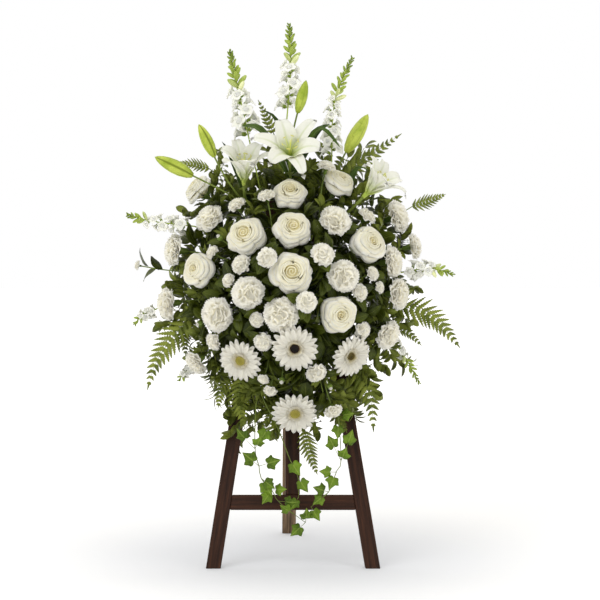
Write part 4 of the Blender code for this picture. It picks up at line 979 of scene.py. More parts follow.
@dataclass
class Gerbera(Plant):
    """A gerbera: three rings of grooved rays round a disc of florets, on a bare stem."""

    SLOT = "gerbera_petal"
    bloom: Bloom
    disc: Disc
    rings: tuple = ((21, 1.05, 0.08, 0.135), (19, 0.95, 0.18, 0.125))
    inner: tuple = (24, 0.42, 0.15, 0.055)
    florets: int = 110
    stem: float = 0.0028

    def ray(self, stance: Stance, ring: tuple, turn: float, draw: random.Random) -> Sheet:
        """The surface of one ray that starts under the disc.

        Args:
            stance: the head's.
            ring: count, length, height of its tip, and half width, in parts of the radius.
            turn: its turn round the head.
            draw: random numbers for its length and bend.

        Returns:
            The surface.
        """
        size = self.bloom.radius * MM
        _, length, rise, half = ring
        length *= draw.uniform(0.90 if length > 0.8 else 0.75, 1.0)
        rise += draw.uniform(-0.025, 0.025)
        twist = draw.uniform(-0.25, 0.25)

        def place(u: float, t: float) -> Vector:
            """A point of the ray."""
            notch = 0.03 * max(0.0, 1 - abs(abs(u) - 0.35) * 6) * ramp(t, 0.85, 1.0)
            reach = 0.14 + (length - 0.14) * (t - 0.12 * u * u * ramp(t, 0.6, 1.0) - notch)
            wide = half * max(0.0, sin(pi * (0.13 + 0.70 * t))) ** 0.75
            z = 0.03 + (rise - 0.03) * t**0.9 + 0.05 * sin(pi * t)
            z += 0.22 * wide * u * u - 0.008 * cos(u * 8.0) + twist * u * wide * t
            c, s, y = cos(turn), sin(turn), u * wide
            return stance.at((reach * c - y * s) * size, (reach * s + y * c) * size, z * size)

        return place

    def build(self) -> None:
        """Builds rays, disc and greenery as three pieces."""
        stance, size = self.bloom.stance(), self.bloom.radius * MM
        rays, disc, green = self.sheaves(3)
        look, radius = self.disc.value
        inner = (self.inner[0], radius + 0.20, *self.inner[2:])
        for number, ring in enumerate((*self.rings, inner)):
            for k in range(ring[0]):
                turn = (k + 0.5 * (number % 2)) * tau / ring[0]
                turn += rays.draw.uniform(-0.03, 0.03)
                tone = (0.0, 0.35 if ring is inner else 1.0)
                rays.sheet(6, 7, self.ray(stance, ring, turn, rays.draw), tone)
        self.hand_in(rays, "rays", "gerbera", 0.0005)
        mound = ((0, 0.02), (radius, 0.05), (radius * 0.9, 0.13), (radius * 0.5, 0.155), (0, 0.14))
        turned(disc, stance, mound, size, 0.2, 20)
        for k in range(self.florets):
            share = ((k + 0.5) / self.florets) ** 0.5
            r, z = radius * share, 0.15 + 0.02 * share - 0.05 * share**6
            spot = stance.polar(k * GOLDEN, r * size, z * size)
            floret = Stance.facing(spot, stance.look + (spot - stance.place).normalized() * 0.3)
            wide = size * 0.55 * radius / self.florets**0.5
            disc.ball(floret, (wide, wide * 1.9), 0.15 + 0.95 * share**1.5)
        self.hand_in(disc, "disc", look)
        cup = ((0, -0.40), (0.07, -0.36), (0.20, -0.24), (0.27, -0.08), (0.26, 0.02), (0, 0.04))
        turned(green, stance, cup, size, 0.5, 16)
        path = stem_path(self.bloom.entry, stance.at(0, 0, -0.36 * size), stance.look)
        green.rods([(path, self.stem, self.stem)], 8)
        self.hand_in(green, "stem", "calyx")


@dataclass
class Snapdragon(Plant):
    """Snapdragon spikes on one stem: ruffled florets below, green buds up to the tip."""

    SLOT = "snapdragon_floret"
    entry: tuple
    spikes: list
    stem: float = 0.0026
    floret_step: float = 0.0082
    bud_step: float = 0.0062
    least_floret: float = 14.0
    least_florets: int = 11
    spine_steps: int = 40
    last_bud: float = 0.985

    def floret(self, sheaf: Sheaf, green: Sheaf, foot: Vector, out: Vector, size: float) -> None:
        """A two-lipped floret of a length that opens from its foot outwards, in a green cup."""
        stance = Stance.facing(foot, out)
        wave = sheaf.draw.uniform(*TURN)

        def place(u: float, t: float) -> Vector:
            """A point of the bell."""
            angle = pi * (u + 1)
            lip = ramp(t, 0.45, 1.0)
            lobes = 1 + 0.20 * lip * cos(5 * angle + wave)
            r = (0.10 + 0.24 * t + 0.30 * lip) * lobes
            z = 0.96 * t - 0.30 * lip**2 + 0.05 * lip * sin(5 * angle + wave)
            r *= 1 + 0.16 * lip * sin(angle)
            return stance.polar(angle, r * size, z * size)

        sheaf.sheet(15, 5, place, closed=True)
        throat = Stance.facing(stance.at(0, 0, size * 0.56), out)
        sheaf.ball(throat, (size * 0.30, size * 0.22), 0.75, 2)
        green.ball(Stance.facing(foot, out), (size * 0.19, size * 0.26), 0.2)

    def spike(self, sheaf: Sheaf, green: Sheaf, kind: Spike, split: Vector, out: Vector) -> tuple:
        """One spike of florets and buds.

        Args:
            sheaf: takes the petals.
            green: takes buds and cups.
            kind: its places, depths and half width.
            split: where it leaves the forked stem.
            out: direction of the stem there.

        Returns:
            The stem as a rod with its radii.
        """
        start = Plan.seen(*kind.places[0], kind.depths[0])
        middle = Plan.seen(*kind.places[1], sum(kind.depths) / 2)
        tip = Plan.seen(*kind.places[2], kind.depths[1])
        spine = smooth_path([start, middle, tip], self.spine_steps)
        length = sum((b - a).length for a, b in zip(spine, spine[1:]))
        share = (middle - start).length / length
        along = directions(spine)
        side = along[0].orthogonal().normalized()
        step = min(self.floret_step / length, share / self.least_florets)
        size, turn, at = max(kind.half_width + 3, self.least_floret) * MM * 0.92, 0.0, 0.0
        while at < self.last_bud:
            point, i, _ = on_path(spine, at)
            ahead = along[i]
            side = (side - ahead * side.dot(ahead)).normalized()
            turn += GOLDEN
            outward = Matrix.Rotation(turn, 3, ahead) @ side
            if at < share:
                grown = size * mix(1.36, 1.05, at / share) * sheaf.draw.uniform(0.8, 1.12)
                way = (outward + ahead * mix(0.35, 0.75, at / share)).normalized()
                self.floret(sheaf, green, point + way * (grown * 0.26), way, grown * 0.80)
                at += step
            else:
                left = (1 - at) / (1 - share)
                grown = (size + 0.004) * 0.72 * (0.30 + 0.70 * left) * sheaf.draw.uniform(0.85, 1.1)
                way = (outward + ahead * (0.65 + 0.8 * (1 - left))).normalized()
                bud = Stance.facing(point + way * grown * 0.78, way)
                green.ball(bud, (grown * 0.29, grown * 0.80), 0.12 + 0.88 * left**1.6, 2)
                at += self.bud_step * (0.38 + 0.52 * left) / length
        green.ball(Stance.facing(tip - along[-1] * 0.004, along[-1]), (0.0022, 0.0045), 0.5, 2)
        neck = start - along[0] * 0.016
        path = bend(split, out, neck, along[0], 10)
        return [*path, *spine[::4], tip], self.stem, 0.0008

    def build(self) -> None:
        """Builds florets, and the stem with its buds, as two pieces."""
        sheaf, green = self.sheaves(2)
        split, out, rods = forked_stem(self.entry, Plan.STEM_STRAIGHT, self.stem)
        rods += [self.spike(sheaf, green, kind, split, out) for kind in self.spikes]
        green.rods(rods, 8)
        self.hand_in(sheaf, "florets", "floret", 0.0004)
        self.hand_in(green, "buds", "spike_bud")


@dataclass
class Lily(Plant):
    """An open lily on its green stem, with buds and narrow leaves."""

    SLOT = "lily_petal"
    entry: tuple
    spot: Place
    depth: float
    facing: tuple
    open_by: float
    length: float
    buds: list
    leaves: list
    rows: tuple = ((0.03, 0.0), (0.20, 0.30), (0.46, 0.58), (0.76, 0.66), (0.98, 0.50))
    neck: float = 0.014
    stem: float = 0.0036

    def petal(self, stance: Stance, turn: float, outer: bool, draw: random.Random) -> Sheet:
        """The surface of one petal that leaves the throat and curls back at its tip.

        Args:
            stance: the flower's.
            turn: its turn round the throat.
            outer: one of the three narrow ones behind.
            draw: random numbers for its ruffle.

        Returns:
            The surface.
        """
        side = stance.polar(turn, 1, 0) - stance.place
        spread = self.open_by * (1.15 if outer else 0.92)
        points = []
        for out, up in self.rows:
            rise = up + out * (1 - self.open_by) * 0.75 - (0.02 if outer else 0.0)
            points.append(stance.place + (side * out * spread + stance.look * rise) * self.length)
        path = smooth_path(points, 12)
        along = directions(path)
        wide = 0.285 * self.length * (0.75 if outer else 1.0) * (0.6 + 0.4 * self.open_by)
        wave = draw.uniform(*TURN)
        facing = stance.look * 0.6 - side

        def place(u: float, t: float) -> Vector:
            """A point of the petal."""
            spine, i, share = on_path(path, t)
            ahead = along[i].lerp(along[i + 1], share)
            level = ahead.cross(facing).normalized()
            normal = level.cross(ahead)
            half = wide * max(0.0, sin(pi * min(1.0, t**0.9 * 0.93 + 0.07))) ** 0.7
            half *= 0.70 + 0.30 * ramp(t, 0.0, 0.35)
            ruffle = 0.0 if outer else 0.035 * sin(11 * t + wave + 2 * u) * u * u
            lift = 0.22 * half / self.length * abs(u) ** 1.6 + ruffle * sin(pi * t)
            groove = 0.018 * (1 - min(1.0, abs(u) * 3)) ** 2 * sin(pi * t)
            return spine + level * (u * half) + normal * ((lift - groove) * self.length)

        return place

    def blossom(self) -> None:
        """Petals, and the stamens in the middle, as two pieces."""
        place = Plan.seen(*self.spot, self.depth)
        look = Vector(self.facing).normalized()
        stance = Stance.facing(place, look, look.orthogonal())
        petals, core, dust = self.sheaves(3)
        for k in range(6):
            surface = self.petal(stance, pi * k / 3, bool(k % 2), petals.draw)
            petals.sheet(10, 14, surface)
        self.hand_in(petals, "petals", "lily", 0.0006)
        rods = []
        for k in range(6):
            turn = pi * k / 3 + 0.45
            spread = (stance.polar(turn, 1, 0) - place) * self.open_by
            foot = place + look * self.length * 0.04 + spread * 0.003
            end = place + look * self.length * 0.66 + spread * self.length * 0.22
            arrive = (look + spread * 0.8).normalized()
            rods.append((bend(foot, look, end, arrive, 6), 0.0009, 0.0006))
            anther = Stance.facing(end, (stance.polar(turn + QUARTER, 1, 0) - place) + look * 0.3)
            dust.ball(anther, (0.0015, 0.0058), 0.6, 2)
        top = place + look * self.length * 0.74
        rods.append(([place + look * 0.004, place.lerp(top, 0.5), top], 0.0016, 0.0012))
        core.rods(rods, 6)
        core.ball(Stance.facing(top, look), (0.0030, 0.0022), 0.9, 2)
        tube = ((0, -0.014), (0.0045, -0.012), (0.0062, 0.0), (0.0066, 0.008), (0, 0.010))
        turned(core, stance, tube, 1.0, 0.2)
        self.hand_in(core, "pistil", "pistil")
        self.hand_in(dust, "anthers", "pollen")

    def build(self) -> None:
        """Builds the open flower, then its stem, buds and leaves."""
        self.blossom()
        place = Plan.seen(*self.spot, self.depth)
        look = Vector(self.facing).normalized()
        path = stem_path(self.entry, place - look * self.neck, look)
        along = directions(path)
        green, buds, blades = self.sheaves(3, 3)
        rods = [(path, self.stem, self.stem)]
        for share, base, tip, far in self.buds:
            at = round(share * (len(path) - 1))
            base, tip = Plan.seen(*base, far), Plan.seen(*tip, far - 0.02)
            axis = tip - base
            twig = bend(path[at], along[at], base, axis.normalized(), 10)
            rods.append(([*twig, base + axis * 0.1], 0.0022, 0.0022))
            self.bud(buds, base, tip)
        for share, bow, tip, far, half in self.leaves:
            leave = path[round(share * (len(path) - 1))]
            bow, tip = Plan.seen(*bow, far), Plan.seen(*tip, far)
            rise = leave.lerp(bow, 0.5) + Vector((0, 0, 0.006))
            narrow_leaf(blades, [leave, rise, bow, tip], half * MM * 1.35, Vector((0, -0.6, 0.8)))
        green.rods(rods, 8)
        node = f"{self.name}_stem"
        green.piece(f"{node}s", "stem", "lily_green", [node])
        buds.piece(f"{self.name}_buds", "bud", "lily_green", [node])
        blades.piece(f"{self.name}_leaves", "lily_leaf", "lily_green", [node], 0.0006)

    def bud(self, sheaf: Sheaf, base: Vector, tip: Vector) -> None:
        """A long closed bud with three ribs."""
        stance = Stance.facing((base + tip) / 2, tip - base)
        half = (tip - base).length / 2
        profile = (
            (0, -0.92), (0.11, -0.88), (0.22, -0.66), (0.30, -0.30), (0.31, 0.05), (0.27, 0.38),
            (0.20, 0.66), (0.10, 0.88), (0, 1.0),
        )

        def place(u: float, t: float) -> Vector:
            """A point of the bud."""
            r, z = on_profile(profile, t)
            angle = pi * (u + 1)
            r *= 1 + 0.07 * cos(3 * angle) - 0.06 * abs(cos(3 * angle)) ** 6
            return stance.polar(angle, r * half, z * half)

        sheaf.sheet(24, 8, place, (0.2, 1.0), closed=True)


def narrow_leaf(sheaf: Sheaf, points: list, half: float, up: Vector) -> None:
    """A long leaf through points from stem to tip, folded a little along its midrib."""
    path = smooth_path(points, 12)
    along = directions(path)

    def place(u: float, t: float) -> Vector:
        """A point of the leaf."""
        spine, i, _ = on_path(path, t)
        side = along[i].cross(up).normalized()
        wide = half * (max(0.0, sin(pi * min(1.0, 0.05 + 0.95 * t**1.25))) ** 0.8 + 0.04)
        wide *= 1 - ramp(t, 0.96, 1.0)
        return spine + side * (u * wide) + side.cross(along[i]) * (0.22 * wide * abs(u))

    sheaf.sheet(4, 12, place, (0.0, 1.0))


@dataclass
class Fern(Plant):
    """Leatherleaf fronds on one forked stalk: leaflets cut into teeth, in pairs on each rib."""

    SLOT = "fern_green"
    entry: tuple
    fork: float
    fronds: list
    stem: float = 0.0022
    facing: Vector = field(default_factory=lambda: Vector((0, -0.8, 0.6)))
    teeth: int = 14

    def leaflet(
        self, sheaf: Sheaf, base: Vector, ways: tuple[Vector, Vector, Vector], size: Place
    ) -> None:
        """One long toothed leaflet.

        Args:
            sheaf: where it goes.
            base: where it leaves the rib.
            ways: its direction, the side that it shows, and the rib's direction.
            size: its length and half width.
        """
        way, normal, lead = ways
        side = way.cross(normal).normalized()
        droop, (reach, half) = sheaf.draw.uniform(0.02, 0.08), size
        sweep = lead * sheaf.draw.uniform(0.0, 0.09)

        def place(u: float, t: float) -> Vector:
            """A point of the leaflet."""
            tooth = 0.56 + 0.44 * abs(sin(pi * self.teeth * 0.5 * t)) ** 0.7
            wide = half * (1 - t) ** 0.70 * min(1.0, 0.55 + 6 * t) * tooth
            ahead = t * reach + abs(u) * wide * 0.60
            point = base + way * ahead + side * (u * wide) + sweep * (reach * t * t)
            return point - normal * (droop * reach * t * t + 0.18 * wide * u * u)

        sheaf.sheet(2, self.teeth * 2, place)

    def frond(self, sheaf: Sheaf, points: Sequence[Vector], half: float, pairs: int) -> list:
        """Leaflets on both sides of a rib.

        Args:
            sheaf: where they go.
            points: the rib's places.
            half: the longest leaflet.
            pairs: pairs in the solid that it stands for; the frond has more.

        Returns:
            The rib's points.
        """
        count = round(1.12 * pairs) + 4
        path = smooth_path(points, count)
        along = directions(path)
        for k in range(count):
            share = k / count
            side = along[k].cross(self.facing).normalized()
            normal = side.cross(along[k])
            reach = half * min(1, 0.55 + 2.2 * share) * (1 - share) ** 0.95 * 1.16 + 0.003
            wide = min(0.22 * reach + 0.0022, 0.56 * (path[1] - path[0]).length)
            for sign in (-1, 1):
                swing = sheaf.draw.uniform(0.50, 0.64) + 0.50 * share
                way = side * sign + along[k] * swing + normal * sheaf.draw.uniform(-0.1, 0.1)
                ways = (way.normalized(), normal, along[k])
                self.leaflet(sheaf, path[k], ways, (reach, wide))
        end = (path[-1] - path[-2]).length * 1.3
        self.leaflet(sheaf, path[-2], (along[-1], self.facing, along[-1]), (end, end * 0.2))
        return path

    def build(self) -> None:
        """Builds leaves and stalks as two pieces."""
        leaves, stalks = self.sheaves(2)
        split, out, rods = forked_stem(self.entry, self.fork, self.stem)
        for places, depths, half, pairs in self.fronds:
            last = len(places) - 1
            points = [
                Plan.seen(*place, mix(*depths, i / last)) for i, place in enumerate(places)
            ]
            rib = self.frond(leaves, points, half * MM, pairs)
            ahead = (points[1] - points[0]).normalized()
            stalk = bend(split, out, points[0], ahead, 8)
            rods.append((stalk, self.stem * 0.8, 0.0013))
            rods.append((rib, 0.0013, 0.0004))
        stalks.rods(rods, 6)
        self.hand_in(leaves, "leaves", "fern", 0.0004)
        self.hand_in(stalks, "stalks", "stem")


@dataclass
class Ivy(Plant):
    """Hanging ivy: thin vines with lobed leaves on curved leaf stalks."""

    SLOT = "ivy_green"
    entry: tuple
    strands: list
    leaves: list
    depth: float = -0.035
    aside: float = 0.6
    vine: float = 0.0015
    # fmt: off
    outline: tuple = (
        (0, 1.40), (12, 1.08), (28, 0.84), (46, 0.76), (60, 0.92), (72, 1.02), (86, 0.84),
        (102, 0.70), (120, 0.78), (136, 0.80), (154, 0.62), (170, 0.42), (180, 0.24),
    )
    # fmt: on

    def edge(self, angle: float) -> float:
        """Distance from a leaf's middle to its edge at an angle in degrees, for size 1."""
        for (low, a), (high, b) in zip(self.outline, self.outline[1:]):
            if low <= angle <= high:
                return mix(a, b, (angle - low) / (high - low))
        return self.outline[-1][1]

    def leaf(self, sheaf: Sheaf, foot: Vector, middle: Vector, size: float, look: Vector) -> None:
        """One lobed leaf, raised between its veins and bent back at the lobes.

        Args:
            sheaf: where it goes.
            foot: where its stalk leaves the vine.
            middle: its middle.
            size: its size.
            look: the side that it shows.
        """
        ahead = (middle - foot).normalized()
        look = (look - ahead * look.dot(ahead)).normalized()
        side = ahead.cross(look)
        cup = sheaf.draw.uniform(0.10, 0.24)
        wave = sheaf.draw.uniform(*TURN)

        def spread(u: float, t: float) -> Place:
            """Across and along the leaf for a turn round its middle and a share out to the edge."""
            reach = self.edge(abs(u) * 180) * t
            return reach * sin(pi * u), reach * cos(pi * u)

        def place(u: float, t: float) -> Vector:
            """A point of the leaf."""
            x, y = spread(u, t)
            lift = -cup * (x * x + y * y) + 0.05 * sin(5 * pi * u + wave) * t**2
            lift -= 0.05 * t * (1 - abs(sin(2.5 * pi * u)))
            return middle + (side * x + ahead * y + look * lift) * size

        sheaf.sheet(30, 3, place, closed=True, marks=spread)

    def build(self) -> None:
        """Builds leaves and vines as two pieces."""
        leaves, vines = self.sheaves(2)
        rods, knots, fork = [], [], None
        for strand in self.strands:
            points = [Plan.seen(*place, self.depth) for place in strand]
            down = (points[1] - points[0]).normalized()
            if fork is None:
                mouth, out = Plan.foam_entry(*self.entry)
                start = mouth + out * Plan.STEM_STRAIGHT
                lead = [mouth - out * Plan.STEM_DEPTH, *bend(start, out, points[0], down, 5)]
                fork = lead[-2]
            else:
                lead = bend(fork, down, points[0], down, 3)
            path = [*lead, *points[1:]]
            knots += path[2:]
            rods.append((smooth_path(path, 40), self.vine * 1.2, self.vine * 0.5))
        for k, (across, up, size) in enumerate(self.leaves):
            spot = Plan.seen(across, up, self.depth - 0.012)
            near = min(knots, key=lambda p: (p - spot).length)
            away, least = spot - near, size * MM
            if Vector((away.x, 0, away.z)).length < self.aside * least:
                away = Vector((0.5 if k % 2 else -0.5, -0.35, -0.8)) * least
            if away.length < least:
                away = away.normalized() * least
            spot = near + away
            look = Vector((0.25 * sin(2.4 * k), -1, 0.25 * cos(1.7 * k)))
            self.leaf(leaves, near, spot, size * MM, look)
            ahead = (spot - near).normalized()
            foot = spot - ahead * size * MM * 0.2
            stalk = bend(near, (ahead + Vector((0, -0.5, 0))).normalized(), foot, ahead, 5)
            rods.append((stalk, 0.0008, 0.0005))
        vines.rods(rods, 6)
        self.hand_in(leaves, "leaves", "ivy", 0.0004)
        self.hand_in(vines, "vines", "stem")


def tree_of_nodes(names: Iterable[str]) -> BVHTree:
    """A search tree over the CAD nodes with these names, moved back to the plan's frame."""
    bm = bmesh.new()
    for name in names:
        bm.from_mesh(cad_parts[name].data)
    bmesh.ops.translate(bm, verts=bm.verts, vec=-Plan.ORIGIN)
    bmesh.ops.remove_doubles(bm, verts=bm.verts, dist=1e-6)
    tree = BVHTree.FromBMesh(bm)
    bm.free()
    return tree


@dataclass
class BroadLeaf:
    """A broad glossy leaf from its base, its direction and the side that it shows."""

    base: Vector
    ahead: Vector
    normal: Vector
    scale: float
    length: float = 0.088
    half: float = 0.019

    def spine(self) -> list[Vector]:
        """Base, two midrib points and tip; the leaf arches over towards its tip."""
        reach = self.length * self.scale
        return [
            self.base,
            self.base + self.ahead * reach * 0.33 + self.normal * reach * 0.06,
            self.base + self.ahead * reach * 0.70 + self.normal * reach * 0.04,
            self.base + self.ahead * reach - self.normal * reach * 0.08,
        ]

    def surface(self, draw: random.Random) -> Sheet:
        """The leaf's surface as a function of (u, t)."""
        path = smooth_path(self.spine(), 10)
        along = directions(path)
        side = self.ahead.cross(self.normal).normalized()
        wave, ripple = draw.uniform(*TURN), draw.uniform(0.03, 0.09)

        def place(u: float, t: float) -> Vector:
            """A point of the leaf."""
            spine, i, _ = on_path(path, t)
            raised = side.cross(along[i])
            wide = self.half * self.scale * max(0.0, sin(pi * t**0.82)) ** 0.72
            lift = 0.15 * abs(u) + ripple * sin(9 * t + wave) * u * u
            return spine + side * (u * wide) + raised * (wide * lift)

        return place

    def blade(self) -> bmesh.types.BMesh:
        """A coarse strip in the leaf's place, to test what it would touch."""
        bm = bmesh.new()
        made = bmesh.ops.create_grid(bm, x_segments=2, y_segments=4, size=1.0)
        surface = self.surface(random.Random(1))
        for vert in made["verts"]:
            vert.co = surface(vert.co.x, (vert.co.y + 1) / 2)
        return bm


def leaf_ways(grow: Vector, order: float, spread: float, turns: int = 8) -> Iterator[tuple]:
    """Directions of a leaf that leaves a twig: turned round it, and shorter, at each try."""
    for turn in range(turns):
        roll = 2.4 * order + 2 * pi * turn / turns
        side = Matrix.Rotation(roll, 3, grow) @ grow.orthogonal().normalized()
        ahead = (grow + side * spread).normalized()
        normal = (grow - ahead * grow.dot(ahead)).normalized()
        yield ahead, normal, 1 - 0.1 * (turn % 4)


@dataclass
class Greens(Plant):
    """Broad dark leaves between the blooms, on the twigs that the solid has."""

    entry: tuple
    spots: list
    behind: float = 0.025
    set_back: float = 0.012
    set_backs: int = 7
    fork: float = 0.035
    stem: float = 0.0026
    twig: float = 0.0014

    def stands(self, leaf: BroadLeaf, tree: BVHTree) -> bool:
        """Whether the solids have this leaf: its tip and its midrib lie on them."""
        spine = leaf.spine()
        return tree.find_nearest(spine[3])[3] < 5e-5 and tree.find_nearest(spine[2])[3] < 0.0012

    def find_twig(
        self, split: Vector, out: Vector, spot: Place, order: int, tree: BVHTree
    ) -> tuple:
        """The twig's points and the end leaf that the solid has for a seen place, or None twice."""
        for back in range(self.set_backs):
            end = Plan.seen(*spot, Plan.dome_depth(*spot) + self.behind + self.set_back * back)
            path = bend(split, out, end, (end - Plan.FOCUS).normalized(), 3)
            grow = (path[-1] - path[-2]).normalized()
            for ahead, normal, scale in leaf_ways(grow, order, 0.9):
                leaf = BroadLeaf(end, ahead, normal, scale)
                if self.stands(leaf, tree):
                    return path, leaf
        return None, None

    def find_leaves(self) -> tuple[list, list]:
        """The leaves and rods of the node, as the solid has them."""
        tree = tree_of_nodes([self.name])
        split, out, rods = forked_stem(self.entry, self.fork, self.stem)
        leaves = []
        for t, spot in enumerate(self.spots):
            path, end_leaf = self.find_twig(split, out, spot, t, tree)
            if path is None:
                continue
            rods.append((path, self.twig, self.twig))
            leaves.append(end_leaf)
            grow = (path[-1] - path[-2]).normalized()
            for k in range(2):
                base = path[-1].lerp(path[-2], 0.2 + 0.4 * k)
                for ahead, normal, scale in leaf_ways(grow, k + 3 * t, 1.8):
                    leaf = BroadLeaf(base, ahead, normal, scale)
                    if self.stands(leaf, tree):
                        leaves.append(leaf)
                        break
        return leaves, rods

    def build(self) -> None:
        """Builds the leaves and twigs as two pieces."""
        leaves, rods = self.find_leaves()
        blades, twigs = self.sheaves(2)
        for leaf in leaves:
            blades.sheet(6, 10, leaf.surface(blades.draw))
        twigs.rods(rods, 6)
        self.hand_in(blades, "leaves", "broad", 0.0006)
        self.hand_in(twigs, "twigs", "stem")


@dataclass(frozen=True)
class LeafKind:
    """A kind of filler leaf: length, half width, how many a twig carries, and its faces."""

    length: float
    half: float
    count: int
    faces: tuple[int, int] = (4, 6)


DARK_LEAF = LeafKind(0.064, 0.0175, 11)
SMALL_LEAF = LeafKind(0.040, 0.0100, 18, (2, 5))
STEM_LEAF = LeafKind(0.062, 0.0170, 14)


@dataclass
class Filler:
    """Leaves that close the gaps between blooms: on the flower stems and on twigs from them."""

    stems: list[tuple[list[Vector], float]]
    solids: BVHTree
    heads: BVHTree
    in_front: float = 0.15
    spots: int = 110
    middle: Place = (0, 690)
    half: Place = (292, 350)
    behind: float = 0.030
    fine_from: float = 0.62
    end_spread: float = 0.5
    side_spread: float = 1.3
    twig_steps: int = 8
    twig: Place = (0.0013, 0.0008)
    stem_steps: int = 24
    stem_end: float = 0.97
    near: float = 0.16
    # fmt: off
    fine_gaps: tuple = (
        (-165, 430), (-150, 375), (-185, 480), (-120, 430), (165, 430), (150, 380), (190, 480),
        (120, 420), (60, 400), (-60, 400), (0, 460), (-40, 1010), (45, 1005), (-300, 700),
        (-290, 760), (300, 700), (290, 620), (-270, 600), (-160, 960), (-150, 345), (-165, 395),
        (-140, 320), (150, 400), (178, 970), (178, 1050), (-82, 1010), (-262, 890), (-182, 1030),
        (-202, 970), (238, 910), (138, 1030), (-222, 910), (58, 350), (-42, 350), (-322, 610),
        (278, 510), (78, 1030), (-62, 1050), (278, 830), (158, 930), (-145, 300), (-242, 570),
        (-226, 546),
    )
    dark_gaps: tuple = (
        (-80, 540), (38, 602), (70, 490), (-30, 480), (82, 455), (0, 520), (140, 620), (-170, 600),
        (0, 985), (45, 912), (-95, 790), (-43, 965), (55, 955), (-130, 925), (-185, 900),
        (-100, 905), (-222, 830), (-222, 690), (178, 630), (178, 950), (-200, 760), (220, 700),
        (-235, 640), (200, 560), (-110, 600), (-150, 700), (120, 560), (-60, 640),
    )
    # fmt: on
    hole_half: Place = (235, 300)
    hole_step: int = 11
    hole_rows: int = 30
    tries: int = 48
    placed: list = field(default_factory=list)
    knots: list = field(init=False)

    def __post_init__(self) -> None:
        """Lists the places where a twig may leave a flower stem, with the stem's direction."""
        paths = (path for path, _ in self.stems)
        self.knots = [knot for path in paths for knot in zip(path[2:-1], directions(path)[2:-1])]

    def fits(self, leaf: BroadLeaf) -> bool:
        """Whether a leaf hides no bloom and touches nothing; then it is kept for later tests."""
        blade = leaf.blade()
        points = [vert.co.copy() for vert in blade.verts]
        tree = BVHTree.FromBMesh(blade)
        blade.free()
        for point in points:
            if self.heads.ray_cast(point, (point - Plan.EYE).normalized(), self.in_front)[0]:
                return False
        near = (other for base, other in self.placed if (base - leaf.base).length < self.near)
        if tree.overlap(self.solids) or any(tree.overlap(other) for other in near):
            return False
        self.placed.append((leaf.base, tree))
        return True

    def leaf(
        self, sheaf: Sheaf, base: Vector, grow: Vector, order: float, kind: LeafKind,
        spread: float, size: float,
    ) -> bool:
        """Adds a leaf at a place on a twig, turned by its order, and says whether it had room."""
        for ahead, normal, scale in leaf_ways(grow, order, spread):
            foot = base + ahead * 0.003
            leaf = BroadLeaf(foot, ahead, normal, scale * size, kind.length, kind.half)
            if self.fits(leaf):
                sheaf.sheet(*kind.faces, leaf.surface(sheaf.draw))
                return True
        return False

    def targets(self) -> list[tuple[Place, bool]]:
        """Seen places for twigs, spread like sunflower seeds and in gaps; True for small leaves."""
        found = []
        for number in range(self.spots):
            out, turn = sqrt((number + 0.5) / self.spots), number * GOLDEN
            across = self.middle[0] + self.half[0] * out * cos(turn)
            up = self.middle[1] + self.half[1] * out * sin(turn)
            found.append(((across, up), out > self.fine_from))
        found += [(spot, False) for spot in self.dark_gaps]
        return found + [(spot, True) for spot in self.fine_gaps]

    def twig_path(self, spot: Place, number: int) -> list[Vector]:
        """Points of a twig from the nearest flower stem to a seen place behind the dome."""
        set_back = self.behind + 0.014 * (number % 4)
        end = Plan.seen(*spot, Plan.dome_depth(*spot) + set_back)
        start, way = self.nearest_stem(end)
        return bend(start, way, end, (end - Plan.FOCUS).normalized(), self.twig_steps)

    def open_spots(self, veil: BVHTree) -> Iterator[Place]:
        """Seen places inside the dome where neither bloom nor leaf stands in the way yet."""
        rows = range(-self.hole_rows, self.hole_rows + 1)
        for row in rows:
            for column in rows:
                x, y = (column + 0.5 * (row % 2)) * self.hole_step, row * self.hole_step
                if hypot(x / self.hole_half[0], y / self.hole_half[1]) > 1:
                    continue
                spot = (self.middle[0] + x, self.middle[1] + y)
                way = (Plan.seen(*spot, 0.0) - Plan.EYE).normalized()
                walls = [veil, self.heads, *(tree for _, tree in self.placed)]
                if not any(wall.ray_cast(Plan.EYE, way)[0] for wall in walls):
                    yield spot

    def cover(self, sheaf: Sheaf, spot: Place, number: int) -> Optional[list[Vector]]:
        """Hangs one leaf across a seen place; gives its twig, or None where there is no room."""
        for attempt in range(self.tries):
            depth = Plan.dome_depth(*spot) + self.behind + 0.022 * (attempt % 7)
            size = 1.0 if attempt < self.tries / 2 else 0.6
            middle = Plan.seen(*spot, depth)
            face = (Plan.EYE - middle).normalized()
            turn = GOLDEN * number + QUARTER * attempt
            ahead = Matrix.Rotation(turn, 3, face) @ face.orthogonal()
            ahead.normalize()
            start, way = self.nearest_stem(middle)
            if ahead.dot(middle - start) < 0:
                ahead.negate()
            normal = (face + 0.35 * ahead.cross(face)).normalized()
            base = middle - ahead * (0.48 * size * DARK_LEAF.length)
            leaf = BroadLeaf(base, ahead, normal, size, DARK_LEAF.length, DARK_LEAF.half)
            if self.fits(leaf):
                sheaf.sheet(*DARK_LEAF.faces, leaf.surface(sheaf.draw))
                return bend(start, way, base, ahead, self.twig_steps)
        return None

    def nearest_stem(self, end: Vector) -> tuple[Vector, Vector]:
        """The place on a flower stem that is nearest to a point, and the stem's direction there."""
        return min(self.knots, key=lambda knot: (knot[0] - end).length)

